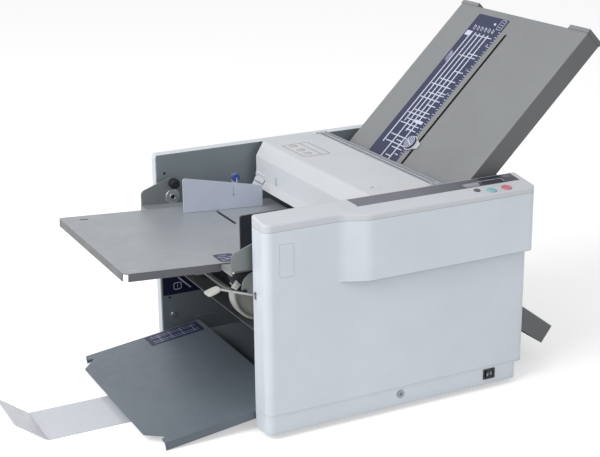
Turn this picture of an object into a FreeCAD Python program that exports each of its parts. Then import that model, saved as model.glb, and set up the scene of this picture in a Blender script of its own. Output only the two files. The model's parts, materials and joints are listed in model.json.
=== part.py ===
import FreeCAD, Part
import math
import os
import re
import Sketcher

# Desktop paper folding machine. Millimetres, +Z up, x from the infeed side to the plate side,
# y from the operator's side to the far side. The places below are measured from the left end and
# the front face of the operator's cover, and from the surface that the machine stands on.

# Named sizes: they fill the spreadsheet, and every sketch and placement is bound to its cells.
SIZES = [
    # fits and cuts that all pieces share
    ("overrun", 6), ("run_clear", 0.05), ("slide_clear", 0.3), ("seam", 0.3),
    # side frames and what ties them
    ("frame_sheet", 2), ("frame_left", 4.3), ("frame_inset", 13), ("frame_top", 330),
    ("frame_corner", 16), ("bay_width", 372.3), ("frame_window_x", 215), ("frame_window_width", 88),
    ("frame_window_z", 40), ("frame_window_height", 80), ("frame_window_corner", 14),
    ("bar_radius", 6), ("bar_inset", 24), ("bar_pitch", 50), ("bar_screw_radius", 5),
    ("bar_screw_head", 3), ("pan_z", 10), ("pan_sheet", 2), ("pan_left", 20), ("pan_flange", 28),
    ("pan_lip_inset", 18), ("foot_radius", 15), ("foot_inset_x", 34), ("foot_inset_y", 30),
    ("foot_draft", 2.5),
    # operator's cover, cap and plinth
    ("cover_length", 449), ("cover_depth", 41), ("cover_wall", 3), ("cover_corner", 12.5),
    ("plinth_bottom", 9), ("plinth_top", 36), ("plinth_inset", 11), ("cap_seam", 318),
    ("cap_top", 334), ("cap_slope", 8.3), ("cap_edge", 3.5), ("cap_web", 4), ("bulge_depth", 16.2),
    ("bulge_bottom", 225), ("bulge_start", 121), ("bulge_full", 159), ("bulge_sweep", 34),
    ("bulge_lead", 40), ("cover_heel", 10), ("plug_x", 222.6), ("plug_z", 27), ("plug_radius", 6.2),
    ("plug_height", 1.2), ("plug_stem", 3.2), ("lever_slot_low", 209.5), ("lever_slot_high", 221),
    ("lever_slot_width", 7),
    # far cover
    ("far_depth", 25.1), ("far_left", 3), ("far_inset", 11), ("far_corner", 11), ("far_edge", 6),
    # control strip, display and buttons on the cap
    ("strip_left", 155), ("strip_inset", 11), ("strip_low", 14), ("strip_high", 40.2),
    ("strip_sheet", 0.8), ("window_inset", 79), ("window_end", 37.5), ("window_low", 18.5),
    ("window_high", 27.5), ("window_proud", 0.5), ("window_sink", 0.3), ("start_inset", 75.3),
    ("start_y", -4.4), ("start_radius", 7.4), ("halt_inset", 48), ("halt_y", -3.8),
    ("halt_radius", 7.9), ("reset_inset", 96.8), ("reset_y", 2.6), ("reset_radius", 4.8),
    ("button_proud", 1.5), ("button_travel", 1.6), ("button_skirt", 1.2), ("button_depth", 5.5),
    ("button_clear", 0.35), ("button_round", 0.8),
    # mains switch and inlet
    ("switch_inset", 65.5), ("switch_z", 26), ("switch_width", 21), ("switch_height", 16.6),
    ("bezel_rim", 1.9), ("bezel_proud", 1.3), ("bezel_depth", 15), ("rocker_rise", 2.2),
    ("rocker_dip", 0.4), ("rocker_depth", 5), ("inlet_y", 96), ("inlet_z", 48), ("inlet_width", 30),
    ("inlet_height", 22), ("inlet_flange", 5), ("inlet_depth", 18), ("inlet_wall", 2.4),
    ("inlet_flange_sheet", 2.5), ("blade_width", 4), ("blade_height", 2), ("blade_pitch", 7),
    ("blade_length", 12), ("blade_rise", 4),
    # rear panel and channel
    ("panel_sheet", 1.5), ("panel_top", 322), ("panel_window_low", 84), ("panel_window_high", 152),
    ("panel_side", 5), ("channel_left", 301), ("channel_width", 17), ("channel_low", 326),
    ("channel_base", 3), ("channel_lip", 1.5), ("panel_top_lip", 14),
    # top cover
    ("lid_rear", 299), ("lid_bevel", 13.3), ("lid_front", 177.7), ("lid_fall", 22), ("lid_apron", 36),
    ("lid_lip_reach", 8.7), ("lid_lip_drop", 12.3), ("lid_wall", 2.5), ("lid_pin_x", 294.5),
    ("lid_pin_z", 329.3), ("lid_pin_radius", 1.8), ("lid_cheek_drop", 7), ("lid_cheek_inset", 4.3),
    ("lid_end_gap", 15), ("lid_lip_rear", 291), ("lid_pin_length", 4.5), ("lid_rib_depth", 8),
    ("lid_rib_pitch", 92),
    # feed table on its carrier
    ("table_z", 252.6), ("table_tilt", 3.43), ("table_sheet", 1.5), ("table_left", 177.6),
    ("table_right", 191), ("table_near", 82.3), ("table_far", 375.2), ("table_flange", 12),
    ("table_flange_end", 30), ("table_notch", 7), ("table_corner", 4), ("guide_slot_x", 73),
    ("guide_slot_width", 6), ("guide_slot_margin", 6), ("guide_slot_gap", 58),
    ("oval_slot_length", 14), ("oval_slot_width", 5), ("oval_slot_x", -150), ("oval_slot_y", 352),
    ("pivot_x", 26.4), ("pivot_z", 260.3), ("pivot_radius", 4), ("pivot_head", 6.2),
    ("pivot_head_width", 1.6), ("ear_inset", 8), ("ear_sheet", 2), ("ear_left", -28.3),
    ("ear_shoulder", 276), ("ear_round", 9), ("ear_peak_x", 24), ("ear_peak_z", 294),
    ("ear_peak_round", 14), ("ear_right", 44.6), ("ear_right_z", 283), ("saddle_left", -29),
    ("saddle_sheet", 2), ("saddle_flange", 9), ("table_knob_x", 28), ("table_knob_z", 284),
    ("table_knob_radius", 8), ("table_knob_width", 11), ("knob_stud_radius", 2.5), ("knob_edge", 1),
    # side guides
    ("guide_left", 17.8), ("guide_right", 150), ("guide_sheet", 3), ("guide_y", 119.5),
    ("guide_top", 307.5), ("guide_round", 4), ("guide_tail_z", 288), ("guide_tail_x", 96),
    ("guide_foot", 24), ("guide_foot_sheet", 1.6), ("guide_stem", 5.2), ("guide_shoe", 12),
    ("guide_shoe_height", 2.5), ("fence_y", 337), ("fence_sheet", 2), ("fence_top", 309.5),
    ("fence_right", 158), ("fence_right_z", 278.7), ("fence_foot", 26), ("fence_round", 4),
    ("dial_x", 113.7), ("dial_z", 296.6), ("dial_radius", 6.6), ("dial_width", 7),
    ("dial_tab_half", 5), ("dial_tab_sheet", 1.6), ("dial_pin", 1.6), ("dial_gap", 1.2),
    ("dial_pointer", 1.2), ("dial_web_z", 279),
    # release lever
    ("lever_y", 34), ("lever_sheet", 4), ("lever_pivot_x", 20), ("lever_pivot_z", 209.4),
    ("lever_stud", 3), ("lever_hub", 8), ("lever_hub_width", 9), ("lever_end_x", -58),
    ("lever_end_z", 236.6), ("lever_height", 3), ("grip_left", -76), ("grip_right", -55),
    ("grip_left_top", 233.1), ("grip_thick", 3.5), ("grip_right_top", 239), ("grip_width", 20),
    ("grip_round", 1.2), ("lever_head", 4.6), ("lever_head_width", 1.4),
    # feed roller and separator
    ("feed_x", 206), ("feed_z", 278), ("feed_shaft_radius", 5), ("tyre_radius", 20),
    ("tyre_width", 22), ("tyre_gap", 14), ("pad_left", 196), ("pad_right", 218), ("pad_width", 44),
    ("pad_height", 6), ("pad_plate", 2), ("pad_bar_x", 232), ("pad_bar_z", 236),
    # fold rollers, gears and bushes
    ("roller_x", 295.1), ("roller_z", 235.9), ("nip_angle_a", 109.9), ("nip_angle_c", 10),
    ("nip_angle_d", -84.2), ("nip_gap", 0.3), ("journal_radius", 5), ("journal_gap", 1.5),
    ("journal_shoulder", 9), ("roller_groove", 1.2), ("gear_module", 1.5), ("gear_teeth", 20),
    ("gear_width", 10), ("gear_y", 24), ("tooth_share", 0.8), ("tooth_root_share", 1.25),
    ("flank_angle", 20), ("gear_hub", 9), ("bush_radius", 8), ("bush_flange", 10.5),
    ("bush_inside", 2.2), ("bush_outside", 2.6), ("bush_flange_sheet", 1.2),
    # motor, pulleys and belts
    ("motor_inset", 51), ("motor_z", 75), ("motor_radius", 32), ("motor_length", 92),
    ("motor_flange", 35), ("motor_flange_sheet", 3), ("motor_corner", 8), ("motor_boss", 11),
    ("motor_shaft", 4), ("motor_bore_depth", 20), ("motor_rib", 2), ("pulley_y", 9),
    ("pulley_width", 11), ("motor_pulley_radius", 12), ("train_pulley_radius", 24),
    ("pulley_rim", 1.4), ("pulley_rim_width", 1.2), ("belt_gap", 0.3), ("belt_sheet", 1.6),
    ("belt_width", 8), ("far_pulley_radius", 12), ("feed_belt_y", 422), ("delivery_belt_y", 431),
    ("far_belt_width", 5), ("far_pulley_width", 7.6),
    # delivery
    ("wheel_x", 45), ("wheel_z", 188.4), ("wheel_radius", 44.6), ("wheel_y", 110),
    ("wheel_width", 20), ("wheel_rim", 4), ("wheel_dish", 6), ("wheel_hub", 10), ("wheel_round", 1.5),
    ("wheel_shaft", 5), ("chute_sheet", 1.5), ("chute_near", 52), ("chute_top_x", 276),
    ("chute_top_z", 211), ("chute_bend_x", 110), ("chute_bend_z", 149), ("chute_end_x", 22),
    ("chute_end_z", 139), ("chute_flange", 8), ("chute_bar_x", 150), ("deflector_left", -23.2),
    ("deflector_left_z", 213.5), ("deflector_right", -3.5), ("deflector_right_z", 208),
    ("deflector_sheet", 3), ("deflector_near", 84), ("deflector_far", 374), ("arm_lip", 7),
    ("arm_sheet", 2), ("arm_left", 0.2), ("arm_right", 34), ("arm_corner_x", -19.4), ("arm_notch_x", -13.5),
    ("arm_notch_z", 219.3), ("arm_top", 233.3), ("arm_low", 200),
    ("arm_round", 22), ("arm_rod", 3), ("arm_rod_x", 24), ("arm_rod_z", 218), ("tray_z", 31.6),
    ("tray_tilt", 7.2), ("tray_sheet", 1.5), ("tray_near", 44), ("tray_far", 394), ("tray_right", 62),
    ("tray_corner_x", -143.5), ("tray_middle_x", -160), ("tray_notch_y", 14), ("tray_notch_step", 9),
    ("tray_lobe_y", 30), ("tray_flange", 12.9), ("tray_round", 4), ("stop_near", 157),
    ("stop_far", 258), ("stop_sheet", 1.2), ("stop_bend_x", -280), ("stop_tip_x", -328),
    ("stop_tip_z", 36), ("stop_tail_x", -50), ("runner_left", -128), ("runner_length", 26),
    ("runner_lip", 7), ("runner_sheet", 1.5), ("runner_floor", 0.8),
    # fold plates
    ("plate_x", 393.5), ("plate_z", 351.3), ("plate_tilt", 44.3), ("plate_low", -105),
    ("plate_end", 264.2), ("plate_near", 51.2), ("plate_width", 347.4), ("plate_thick", 33),
    ("plate_sheet", 1.5), ("plate_gap", 3), ("plate_floor", 3), ("plate_margin", 9),
    ("plate_stopband", 10), ("rail_windows", 8), ("rail_width", 22), ("slot_y", 225),
    ("slot_width", 4), ("slot_low", -52), ("slot_high", 225), ("plate_round", 2), ("cap_width", 49),
    ("cap_length", 7), ("cap_proud", 0.8), ("slider_s", -13.4), ("slider_y", 239.5),
    ("slider_radius", 14.4), ("slider_sheet", 2), ("slider_tail", 216), ("slider_tail_half", 5),
    ("slider_flank_share", 0.94), ("slider_stem", 10), ("slider_play", 0.3), ("slider_bar", 12),
    ("dial_cap_radius", 11.8), ("dial_cap_height", 3.2), ("dial_cap_pin", 3), ("dial_cap_round", 0.8),
    ("lower_x", 542.5), ("lower_z", 56.8), ("lower_tilt", 37), ("lower_length", 240),
    ("lower_slot_low", -200), ("lower_slot_high", -22), ("lower_slider_s", -118),
]

document = FreeCAD.newDocument("paper_folding_machine")
sheet = document.addObject("Spreadsheet::Sheet", "sizes")
for line, (word, number) in enumerate(SIZES, start=1):
    sheet.set(f"A{line}", word)
    sheet.set(f"B{line}", str(number))
    sheet.setAlias(f"B{line}", word)
document.recompute()
WORDS = {word for word, number in SIZES}
NODES = []

# Sizes that follow from others
FRAME_FAR = "(cover_depth + frame_sheet + bay_width)"
BAY_NEAR = "(cover_depth + frame_sheet)"
FAR_FACE = f"({FRAME_FAR} + frame_sheet)"
FAR_OUTSIDE = f"({FAR_FACE} + far_depth)"
PITCH = "(gear_module * gear_teeth)"
ROLLER = f"({PITCH} / 2 - nip_gap / 2)"
CAP_RISE = "tan(cap_slope * 1 deg)"
FRAME_RIGHT = "(cover_length - frame_inset)"
FAR_RIGHT = "(cover_length - far_inset)"
PLINTH_LENGTH = "(cover_length - plinth_inset)"
STRIP_RIGHT = "(cover_length - strip_inset)"
WINDOW_LEFT = "(cover_length - window_inset)"
WINDOW_RIGHT = "(cover_length - window_end)"
START_X = "(cover_length - start_inset)"
HALT_X = "(cover_length - halt_inset)"
RESET_X = "(cover_length - reset_inset)"
SWITCH_X = "(cover_length - switch_inset)"
MOTOR_X = f"({FRAME_RIGHT} - motor_inset)"
LID_RIDGE = "(lid_front + lid_bevel)"
LID_SHOULDER = "(cap_top - lid_fall)"
LID_KNEE = f"({LID_SHOULDER} - lid_apron)"
LID_LIP_X = "(lid_front - lid_lip_reach)"
LID_LIP_Z = f"({LID_KNEE} - lid_lip_drop)"
LID_CHEEK_LOW = f"({LID_SHOULDER} - lid_cheek_drop)"
LID_CHEEK_FRONT = "(lid_front + lid_cheek_inset)"
PLATE_COS = "cos(plate_tilt * 1 deg)"
PLATE_SIN = "sin(plate_tilt * 1 deg)"
LOWER_COS = "cos(lower_tilt * 1 deg)"
LOWER_SIN = "sin(lower_tilt * 1 deg)"
RIGHT_REACH = (f"(plate_x + (plate_end + cap_length) * {PLATE_COS}"
               f" + (plate_thick + cap_proud) * {PLATE_SIN})")
MIDDLE_X = f"((stop_tip_x + {RIGHT_REACH}) / 2)"
MIDDLE_Y = f"(({FAR_OUTSIDE} - bulge_depth) / 2)"


def centre_of(angle):
    """Place of the roller that lies at this angle from the middle roller, one gear pitch away."""
    return (f"(roller_x + {PITCH} * cos({angle} * 1 deg))", f"(roller_z + {PITCH} * sin({angle} * 1 deg))")


ROLLER_AT = {
    "a": centre_of("nip_angle_a"),
    "b": ("roller_x", "roller_z"),
    "c": centre_of("nip_angle_c"),
    "d": centre_of("nip_angle_d"),
}


# Words of an expression become cells of the sheet
def bound(text):
    def cell(found):
        word = found.group(0)
        return f"sizes.{word}" if word in WORDS else word
    return re.sub(r"[a-z_]+[a-z_0-9]*", cell, str(text))


def value(text):
    return float(sheet.evalExpression(bound(text)))


def plus(first, second):
    return f"({first}) + ({second})"


def less(first, second):
    return f"({first}) - ({second})"


# Planes: where a slab or a cut between two heights is sketched, and on which side of its plane it lies
PLANES = {"x": ("YZ_Plane", 1), "y": ("XZ_Plane", -1), "z": ("XY_Plane", 1)}


class Piece:
    """One body, drawn in the machine's own places or in a tilted frame of its own."""

    def __init__(self, label, at=("0", "0", "0"), turn="0", about=(0, 1, 0)):
        self.body = document.addObject("PartDesign::Body", label)
        self.body.Label = label
        self.count = 0
        start = FreeCAD.Rotation(FreeCAD.Vector(*about), value(turn))
        self.body.Placement = FreeCAD.Placement(FreeCAD.Vector(0, 0, 0), start)
        if turn != "0":
            self.body.setExpression("Placement.Rotation.Angle", bound(turn))
        self.body.setExpression("Placement.Base.x", bound(less(at[0], MIDDLE_X)))
        self.body.setExpression("Placement.Base.y", bound(less(at[1], MIDDLE_Y)))
        self.body.setExpression("Placement.Base.z", bound(at[2]))
        NODES.append(self.body)

    def sketch(self, role, offset, lean=None):
        self.count += 1
        made = self.body.newObject("Sketcher::SketchObject", f"{self.body.Name}_outline_{self.count}")
        plane = [item for item in self.body.Origin.OriginFeatures if item.Role == role][0]
        made.AttachmentSupport = [(plane, "")]
        made.MapMode = "FlatFace"
        for letter, text in zip("xyz", offset):
            if text != "0":
                made.setExpression(f"AttachmentOffset.Base.{letter}", bound(text))
        if lean:
            made.AttachmentOffset = FreeCAD.Placement(
                FreeCAD.Vector(0, 0, 0), FreeCAD.Rotation(FreeCAD.Vector(1, 0, 0), value(lean)))
            made.setExpression("AttachmentOffset.Rotation.Angle", bound(lean))
        return made

    def extrude(self, kind, axis, low, high, draw):
        role, side = PLANES[axis]
        from_high = (kind == "Pocket") == (side > 0)
        height = high if from_high else low
        made = self.sketch(role, ("0", "0", height if side > 0 else f"-({height})"))
        for outline in draw:
            trace(made, outline)
        feature = self.body.newObject(f"PartDesign::{kind}", f"{self.body.Name}_{kind}_{self.count}")
        feature.Profile = made
        feature.setExpression("Length", bound(less(high, low)))
        return feature

    def slab(self, axis, low, high, *draw):
        return self.extrude("Pad", axis, low, high, draw)

    def cut(self, axis, low, high, *draw):
        return self.extrude("Pocket", axis, low, high, draw)

    def box(self, across, along, up):
        return self.slab("z", up[0], up[1], rectangle(across, along))

    def trim(self, across, along, up):
        return self.cut("z", up[0], up[1], rectangle(across, along))

    def turned(self, axis, centre, profile, kind="Revolution"):
        """Turn a half section of (radius, place along the axis) about an axis parallel to Y or Z."""
        if axis == "y":
            made = self.sketch("XY_Plane", (centre[0], "0", centre[1]))
        else:
            made = self.sketch("XZ_Plane", (centre[0], "0", f"-({centre[1]})"))
        trace(made, profile)
        feature = self.body.newObject(f"PartDesign::{kind}", f"{self.body.Name}_{kind}_{self.count}")
        feature.Profile = made
        feature.ReferenceAxis = (made, ["V_Axis"])
        feature.Angle = 360
        return feature

    def dress(self, kind, size, *tests):
        """Round or bevel the edges whose middle passes one of the tests."""
        document.recompute([self.body])
        document.recompute()
        base = self.body.Tip
        names = []
        for number, edge in enumerate(base.Shape.Edges, start=1):
            middle = edge.valueAt((edge.FirstParameter + edge.LastParameter) / 2)
            if any(test(middle, edge) for test in tests):
                names.append(f"Edge{number}")
        if not names:
            raise ValueError(f"{self.body.Label}: no edge to dress")
        self.count += 1
        feature = self.body.newObject(f"PartDesign::{kind}", f"{self.body.Name}_{kind}_{self.count}")
        feature.Base = (base, names)
        feature.setExpression("Radius" if kind == "Fillet" else "Size", bound(size))
        return feature


def rectangle(across, along):
    return [(across[0], along[0]), (across[1], along[0]), (across[1], along[1]), (across[0], along[1])]


def rounded(across, along, radius):
    return [(place[0], place[1], radius) for place in rectangle(across, along)]


def circle(centre, radius):
    return ("circle", centre, radius)


def trace(made, corners):
    """Draw one closed outline: a circle, or corners (x, y) or (x, y, radius), in named sizes."""
    if corners[0] == "circle":
        centre = FreeCAD.Vector(value(corners[1][0]), value(corners[1][1]), 0)
        up = FreeCAD.Vector(0, 0, 1)
        ring = made.addGeometry(Part.Circle(centre, up, value(corners[2])), False)
        fix(made, ring, 3, corners[1], centre)
        bind(made, Sketcher.Constraint("Radius", ring, value(corners[2])), corners[2])
        return
    spots = [FreeCAD.Vector(value(corner[0]), value(corner[1]), 0) for corner in corners]
    count = len(corners)
    leave, arrive, rounds = [], [], {}
    for number, corner in enumerate(corners):
        spot = spots[number]
        if len(corner) < 3:
            leave.append(spot)
            arrive.append(spot)
            continue
        back = (spots[number - 1] - spot).normalize()
        ahead = (spots[(number + 1) % count] - spot).normalize()
        half = back.getAngle(ahead) / 2
        radius = value(corner[2])
        first = spot + back * (radius / math.tan(half))
        last = spot + ahead * (radius / math.tan(half))
        centre = spot + (back + ahead).normalize() * (radius / math.sin(half))
        arrive.append(first)
        leave.append(last)
        rounds[number] = (first, last, centre, radius)
    sides = []
    for number in range(count):
        after = (number + 1) % count
        sides.append(made.addGeometry(Part.LineSegment(leave[number], arrive[after]), False))
    for number, corner in enumerate(corners):
        before = sides[number - 1]
        after = sides[number]
        if number not in rounds:
            made.addConstraint(Sketcher.Constraint("Coincident", before, 2, after, 1))
            fix(made, after, 1, corner, spots[number])
            continue
        first, last, centre, radius = rounds[number]
        spoke = first - centre
        swing = last - centre
        anticlockwise = spoke.cross(swing).z > 0
        start, end = (spoke, swing) if anticlockwise else (swing, spoke)
        ring = Part.Circle(centre, FreeCAD.Vector(0, 0, 1), radius)
        from_angle = math.atan2(start.y, start.x)
        to_angle = math.atan2(end.y, end.x)
        arc = made.addGeometry(Part.ArcOfCircle(ring, from_angle, to_angle), False)
        apex = made.addGeometry(Part.Point(spots[number]), True)
        fix(made, apex, 1, corner, spots[number])
        made.addConstraint(Sketcher.Constraint("PointOnObject", apex, 1, before))
        made.addConstraint(Sketcher.Constraint("PointOnObject", apex, 1, after))
        made.addConstraint(Sketcher.Constraint("Tangent", before, 2, arc, 1 if anticlockwise else 2))
        made.addConstraint(Sketcher.Constraint("Tangent", after, 1, arc, 2 if anticlockwise else 1))
        bind(made, Sketcher.Constraint("Radius", arc, radius), corner[2])


def bind(made, constraint, text):
    number = made.addConstraint(constraint)
    if text != "0":
        made.setExpression(f"Constraints[{number}]", bound(text))


def fix(made, shape, point, place, spot):
    bind(made, Sketcher.Constraint("DistanceX", -1, 1, shape, point, spot.x), place[0])
    bind(made, Sketcher.Constraint("DistanceY", -1, 1, shape, point, spot.y), place[1])


def near(place, target, reach=0.01):
    return abs(place - value(target)) < reach


# Side frames: folded steel plates that carry every shaft
def frame_outline():
    return [("frame_left", "pan_z + pan_sheet"), (FRAME_RIGHT, "pan_z + pan_sheet"),
            (FRAME_RIGHT, "frame_top - pan_lip_inset", "frame_corner"),
            (f"{FRAME_RIGHT} - pan_lip_inset", "frame_top", "frame_corner"), ("frame_left", "frame_top")]


def frame_bores():
    bores = [circle(ROLLER_AT[name], "bush_radius") for name in "abcd"]
    bores.append(circle(("feed_x", "feed_z"), "bush_radius"))
    bores.append(circle(("wheel_x", "wheel_z"), "bush_radius"))
    return bores


def frame_window():
    return rounded(("frame_window_x", "frame_window_x + frame_window_width"),
                   ("frame_window_z", "frame_window_z + frame_window_height"), "frame_window_corner")


def headed_stud(piece, centre, radius, head, root, tip, head_low, head_high):
    piece.slab("y", root, tip, circle(centre, radius))
    piece.slab("y", head_low, head_high, circle(centre, head))


def side_frames():
    near_side = Piece("near_side_frame")
    near_side.slab("y", "cover_depth", BAY_NEAR, frame_outline())
    near_side.cut("y", "cover_depth", BAY_NEAR, *frame_bores(), frame_window(),
                  circle((MOTOR_X, "motor_z"), "motor_boss"))
    ear = plus(BAY_NEAR, "ear_inset")
    stud_end = f"{ear} + ear_sheet + slide_clear"
    headed_stud(near_side, ("pivot_x", "pivot_z"), "pivot_radius", "pivot_head", BAY_NEAR, stud_end,
                stud_end, f"{stud_end} + pivot_head_width")
    lever_low = "lever_y - lever_hub_width / 2 - slide_clear"
    headed_stud(near_side, ("lever_pivot_x", "lever_pivot_z"), "lever_stud", "lever_head", lever_low,
                "cover_depth", less(lever_low, "lever_head_width"), lever_low)

    far_side = Piece("far_side_frame")
    far_side.slab("y", FRAME_FAR, FAR_FACE, frame_outline())
    far_side.cut("y", FRAME_FAR, FAR_FACE, *frame_bores(), frame_window())
    ear = less(FRAME_FAR, "ear_inset")
    stud_end = f"{ear} - ear_sheet - slide_clear"
    headed_stud(far_side, ("pivot_x", "pivot_z"), "pivot_radius", "pivot_head", stud_end, FRAME_FAR,
                f"{stud_end} - pivot_head_width", stud_end)


def rest_under(x, z, tilt, low, along):
    """Centre of a bar that carries a tilted plate: its upper face starts at x, z."""
    cos, sin = f"cos({tilt} * 1 deg)", f"sin({tilt} * 1 deg)"
    drop = "(plate_thick + bar_radius)"
    return (f"{x} + ({low} + {along}) * {cos} + {drop} * {sin}",
            f"{z} + ({low} + {along}) * {sin} - {drop} * {cos}")


def bar_places():
    upper = [rest_under("plate_x", "plate_z", "plate_tilt", "plate_low", along)
             for along in ("bar_inset", "bar_inset + bar_pitch")]
    cos, sin = LOWER_COS, LOWER_SIN
    drop = "(plate_thick + bar_radius)"
    lower = [(f"lower_x - (lower_length - ({along})) * {cos} - {drop} * {sin}",
              f"lower_z + (lower_length - ({along})) * {sin} - {drop} * {cos}")
             for along in ("bar_inset", "bar_inset + bar_pitch")]
    return upper + lower + [("pad_bar_x", "pad_bar_z"), chute_bar()]


def chute_bar():
    rise = "((chute_top_z - chute_bend_z) / (chute_top_x - chute_bend_x))"
    under = f"(chute_sheet + bar_radius) * sqrt(1 + {rise} ^ 2)"
    return ("chute_bar_x", f"chute_bend_z + (chute_bar_x - chute_bend_x) * {rise} - {under}")


def cylinder(name, centre, radius, low, high):
    made = document.addObject("Part::Cylinder", name)
    made.Placement = FreeCAD.Placement(FreeCAD.Vector(0, 0, 0),
                                       FreeCAD.Rotation(FreeCAD.Vector(1, 0, 0), -90))
    made.setExpression("Radius", bound(radius))
    made.setExpression("Height", bound(less(high, low)))
    made.setExpression("Placement.Base.x", bound(centre[0]))
    made.setExpression("Placement.Base.y", bound(low))
    made.setExpression("Placement.Base.z", bound(centre[1]))
    return made


def tube(name, centre, outer, inner, low, high):
    made = document.addObject("Part::Cut", name)
    made.Base = cylinder(f"{name}_body", centre, outer, low, high)
    made.Tool = cylinder(f"{name}_bore", centre, inner, low, high)
    return made


def fused(name, parts):
    made = document.addObject("Part::MultiFuse", name)
    made.Shapes = parts
    return made


def group(label, parts):
    made = document.addObject("Part::Compound", label)
    made.Label = label
    made.Links = parts
    made.setExpression("Placement.Base.x", bound(f"-{MIDDLE_X}"))
    made.setExpression("Placement.Base.y", bound(f"-{MIDDLE_Y}"))
    NODES.append(made)


def cross_bars():
    bars = [cylinder(f"bar_{number}", place, "bar_radius", BAY_NEAR, FRAME_FAR)
            for number, place in enumerate(bar_places())]
    bars.append(cylinder("lid_rod", ("lid_pin_x", "lid_pin_z"), "lid_pin_radius", BAY_NEAR, FRAME_FAR))
    group("cross_bars", bars)


def frame_screws():
    """Button heads that hold the bars from outside, and the plug in the operator's plinth."""
    heads = []
    for number, place in enumerate(bar_places()):
        heads.append(cylinder(f"near_head_{number}", place, "bar_screw_radius",
                              "cover_depth - bar_screw_head", "cover_depth"))
        heads.append(cylinder(f"far_head_{number}", place, "bar_screw_radius",
                              FAR_FACE, plus(FAR_FACE, "bar_screw_head")))
    plug = ("plug_x", "plug_z")
    heads.append(fused("plinth_plug", [cylinder("plug_head", plug, "plug_radius", "-plug_height", "0"),
                                       cylinder("plug_shank", plug, "plug_stem", "0", "cover_wall")]))
    group("cover_screws", heads)


def base():
    pan = Piece("base_pan")
    span = (BAY_NEAR, FRAME_FAR)
    pan.box(("pan_left", FRAME_RIGHT), span, ("pan_z", "pan_z + pan_sheet"))
    flange_top = "pan_z + pan_flange"
    beside_tray = "tray_right + pan_sheet"
    pan.box((beside_tray, FRAME_RIGHT), (BAY_NEAR, f"{BAY_NEAR} + pan_sheet"), ("pan_z", flange_top))
    pan.box((beside_tray, FRAME_RIGHT), (f"{FRAME_FAR} - pan_sheet", FRAME_FAR), ("pan_z", flange_top))
    tray_under = "tray_z + pan_left * tan(tray_tilt * 1 deg) - tray_sheet / cos(tray_tilt * 1 deg)"
    lip = ("tray_near + pan_lip_inset", "tray_far - pan_lip_inset")
    pan.box(("pan_left", "pan_left + pan_sheet"), lip, ("pan_z", tray_under))

    feet = []
    for name_x, x in (("left", "pan_left + foot_inset_x"), ("right", f"{FRAME_RIGHT} - foot_inset_x")):
        for name_y, y in (("near", f"{BAY_NEAR} + foot_inset_y"), ("far", f"{FRAME_FAR} - foot_inset_y")):
            foot = document.addObject("Part::Cone", f"foot_{name_x}_{name_y}")
            foot.setExpression("Radius1", bound("foot_radius - foot_draft"))
            foot.setExpression("Radius2", bound("foot_radius"))
            foot.setExpression("Height", bound("pan_z"))
            foot.setExpression("Placement.Base.x", bound(x))
            foot.setExpression("Placement.Base.y", bound(y))
            feet.append(foot)
    group("rubber_feet", feet)


# Operator's housing: cover, cap and plinth share one plan with rounded front corners
def plan(length):
    return [("0", "0", "cover_corner"), (length, "0", "cover_corner"), (length, "cover_depth"),
            ("0", "cover_depth")]


def inside_plan(length, corner="cover_corner", near_y="0", far_y="cover_depth + overrun", left="0"):
    """Plan of the hollow behind such a shell, one wall in from its faces."""
    low, high = f"{left} + cover_wall", f"{length} - cover_wall"
    radius = f"{corner} - cover_wall"
    return [(low, f"{near_y} + cover_wall", radius), (high, f"{near_y} + cover_wall", radius),
            (high, far_y), (low, far_y)]


def bulge_plan():
    return [("bulge_start - bulge_lead", "0"), ("bulge_start", "0", "bulge_sweep"),
            ("bulge_full", "-bulge_depth", "bulge_sweep"), ("cover_length", "-bulge_depth", "cover_corner"),
            ("cover_length", "cover_depth"), ("bulge_start - bulge_lead", "cover_depth")]


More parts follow.
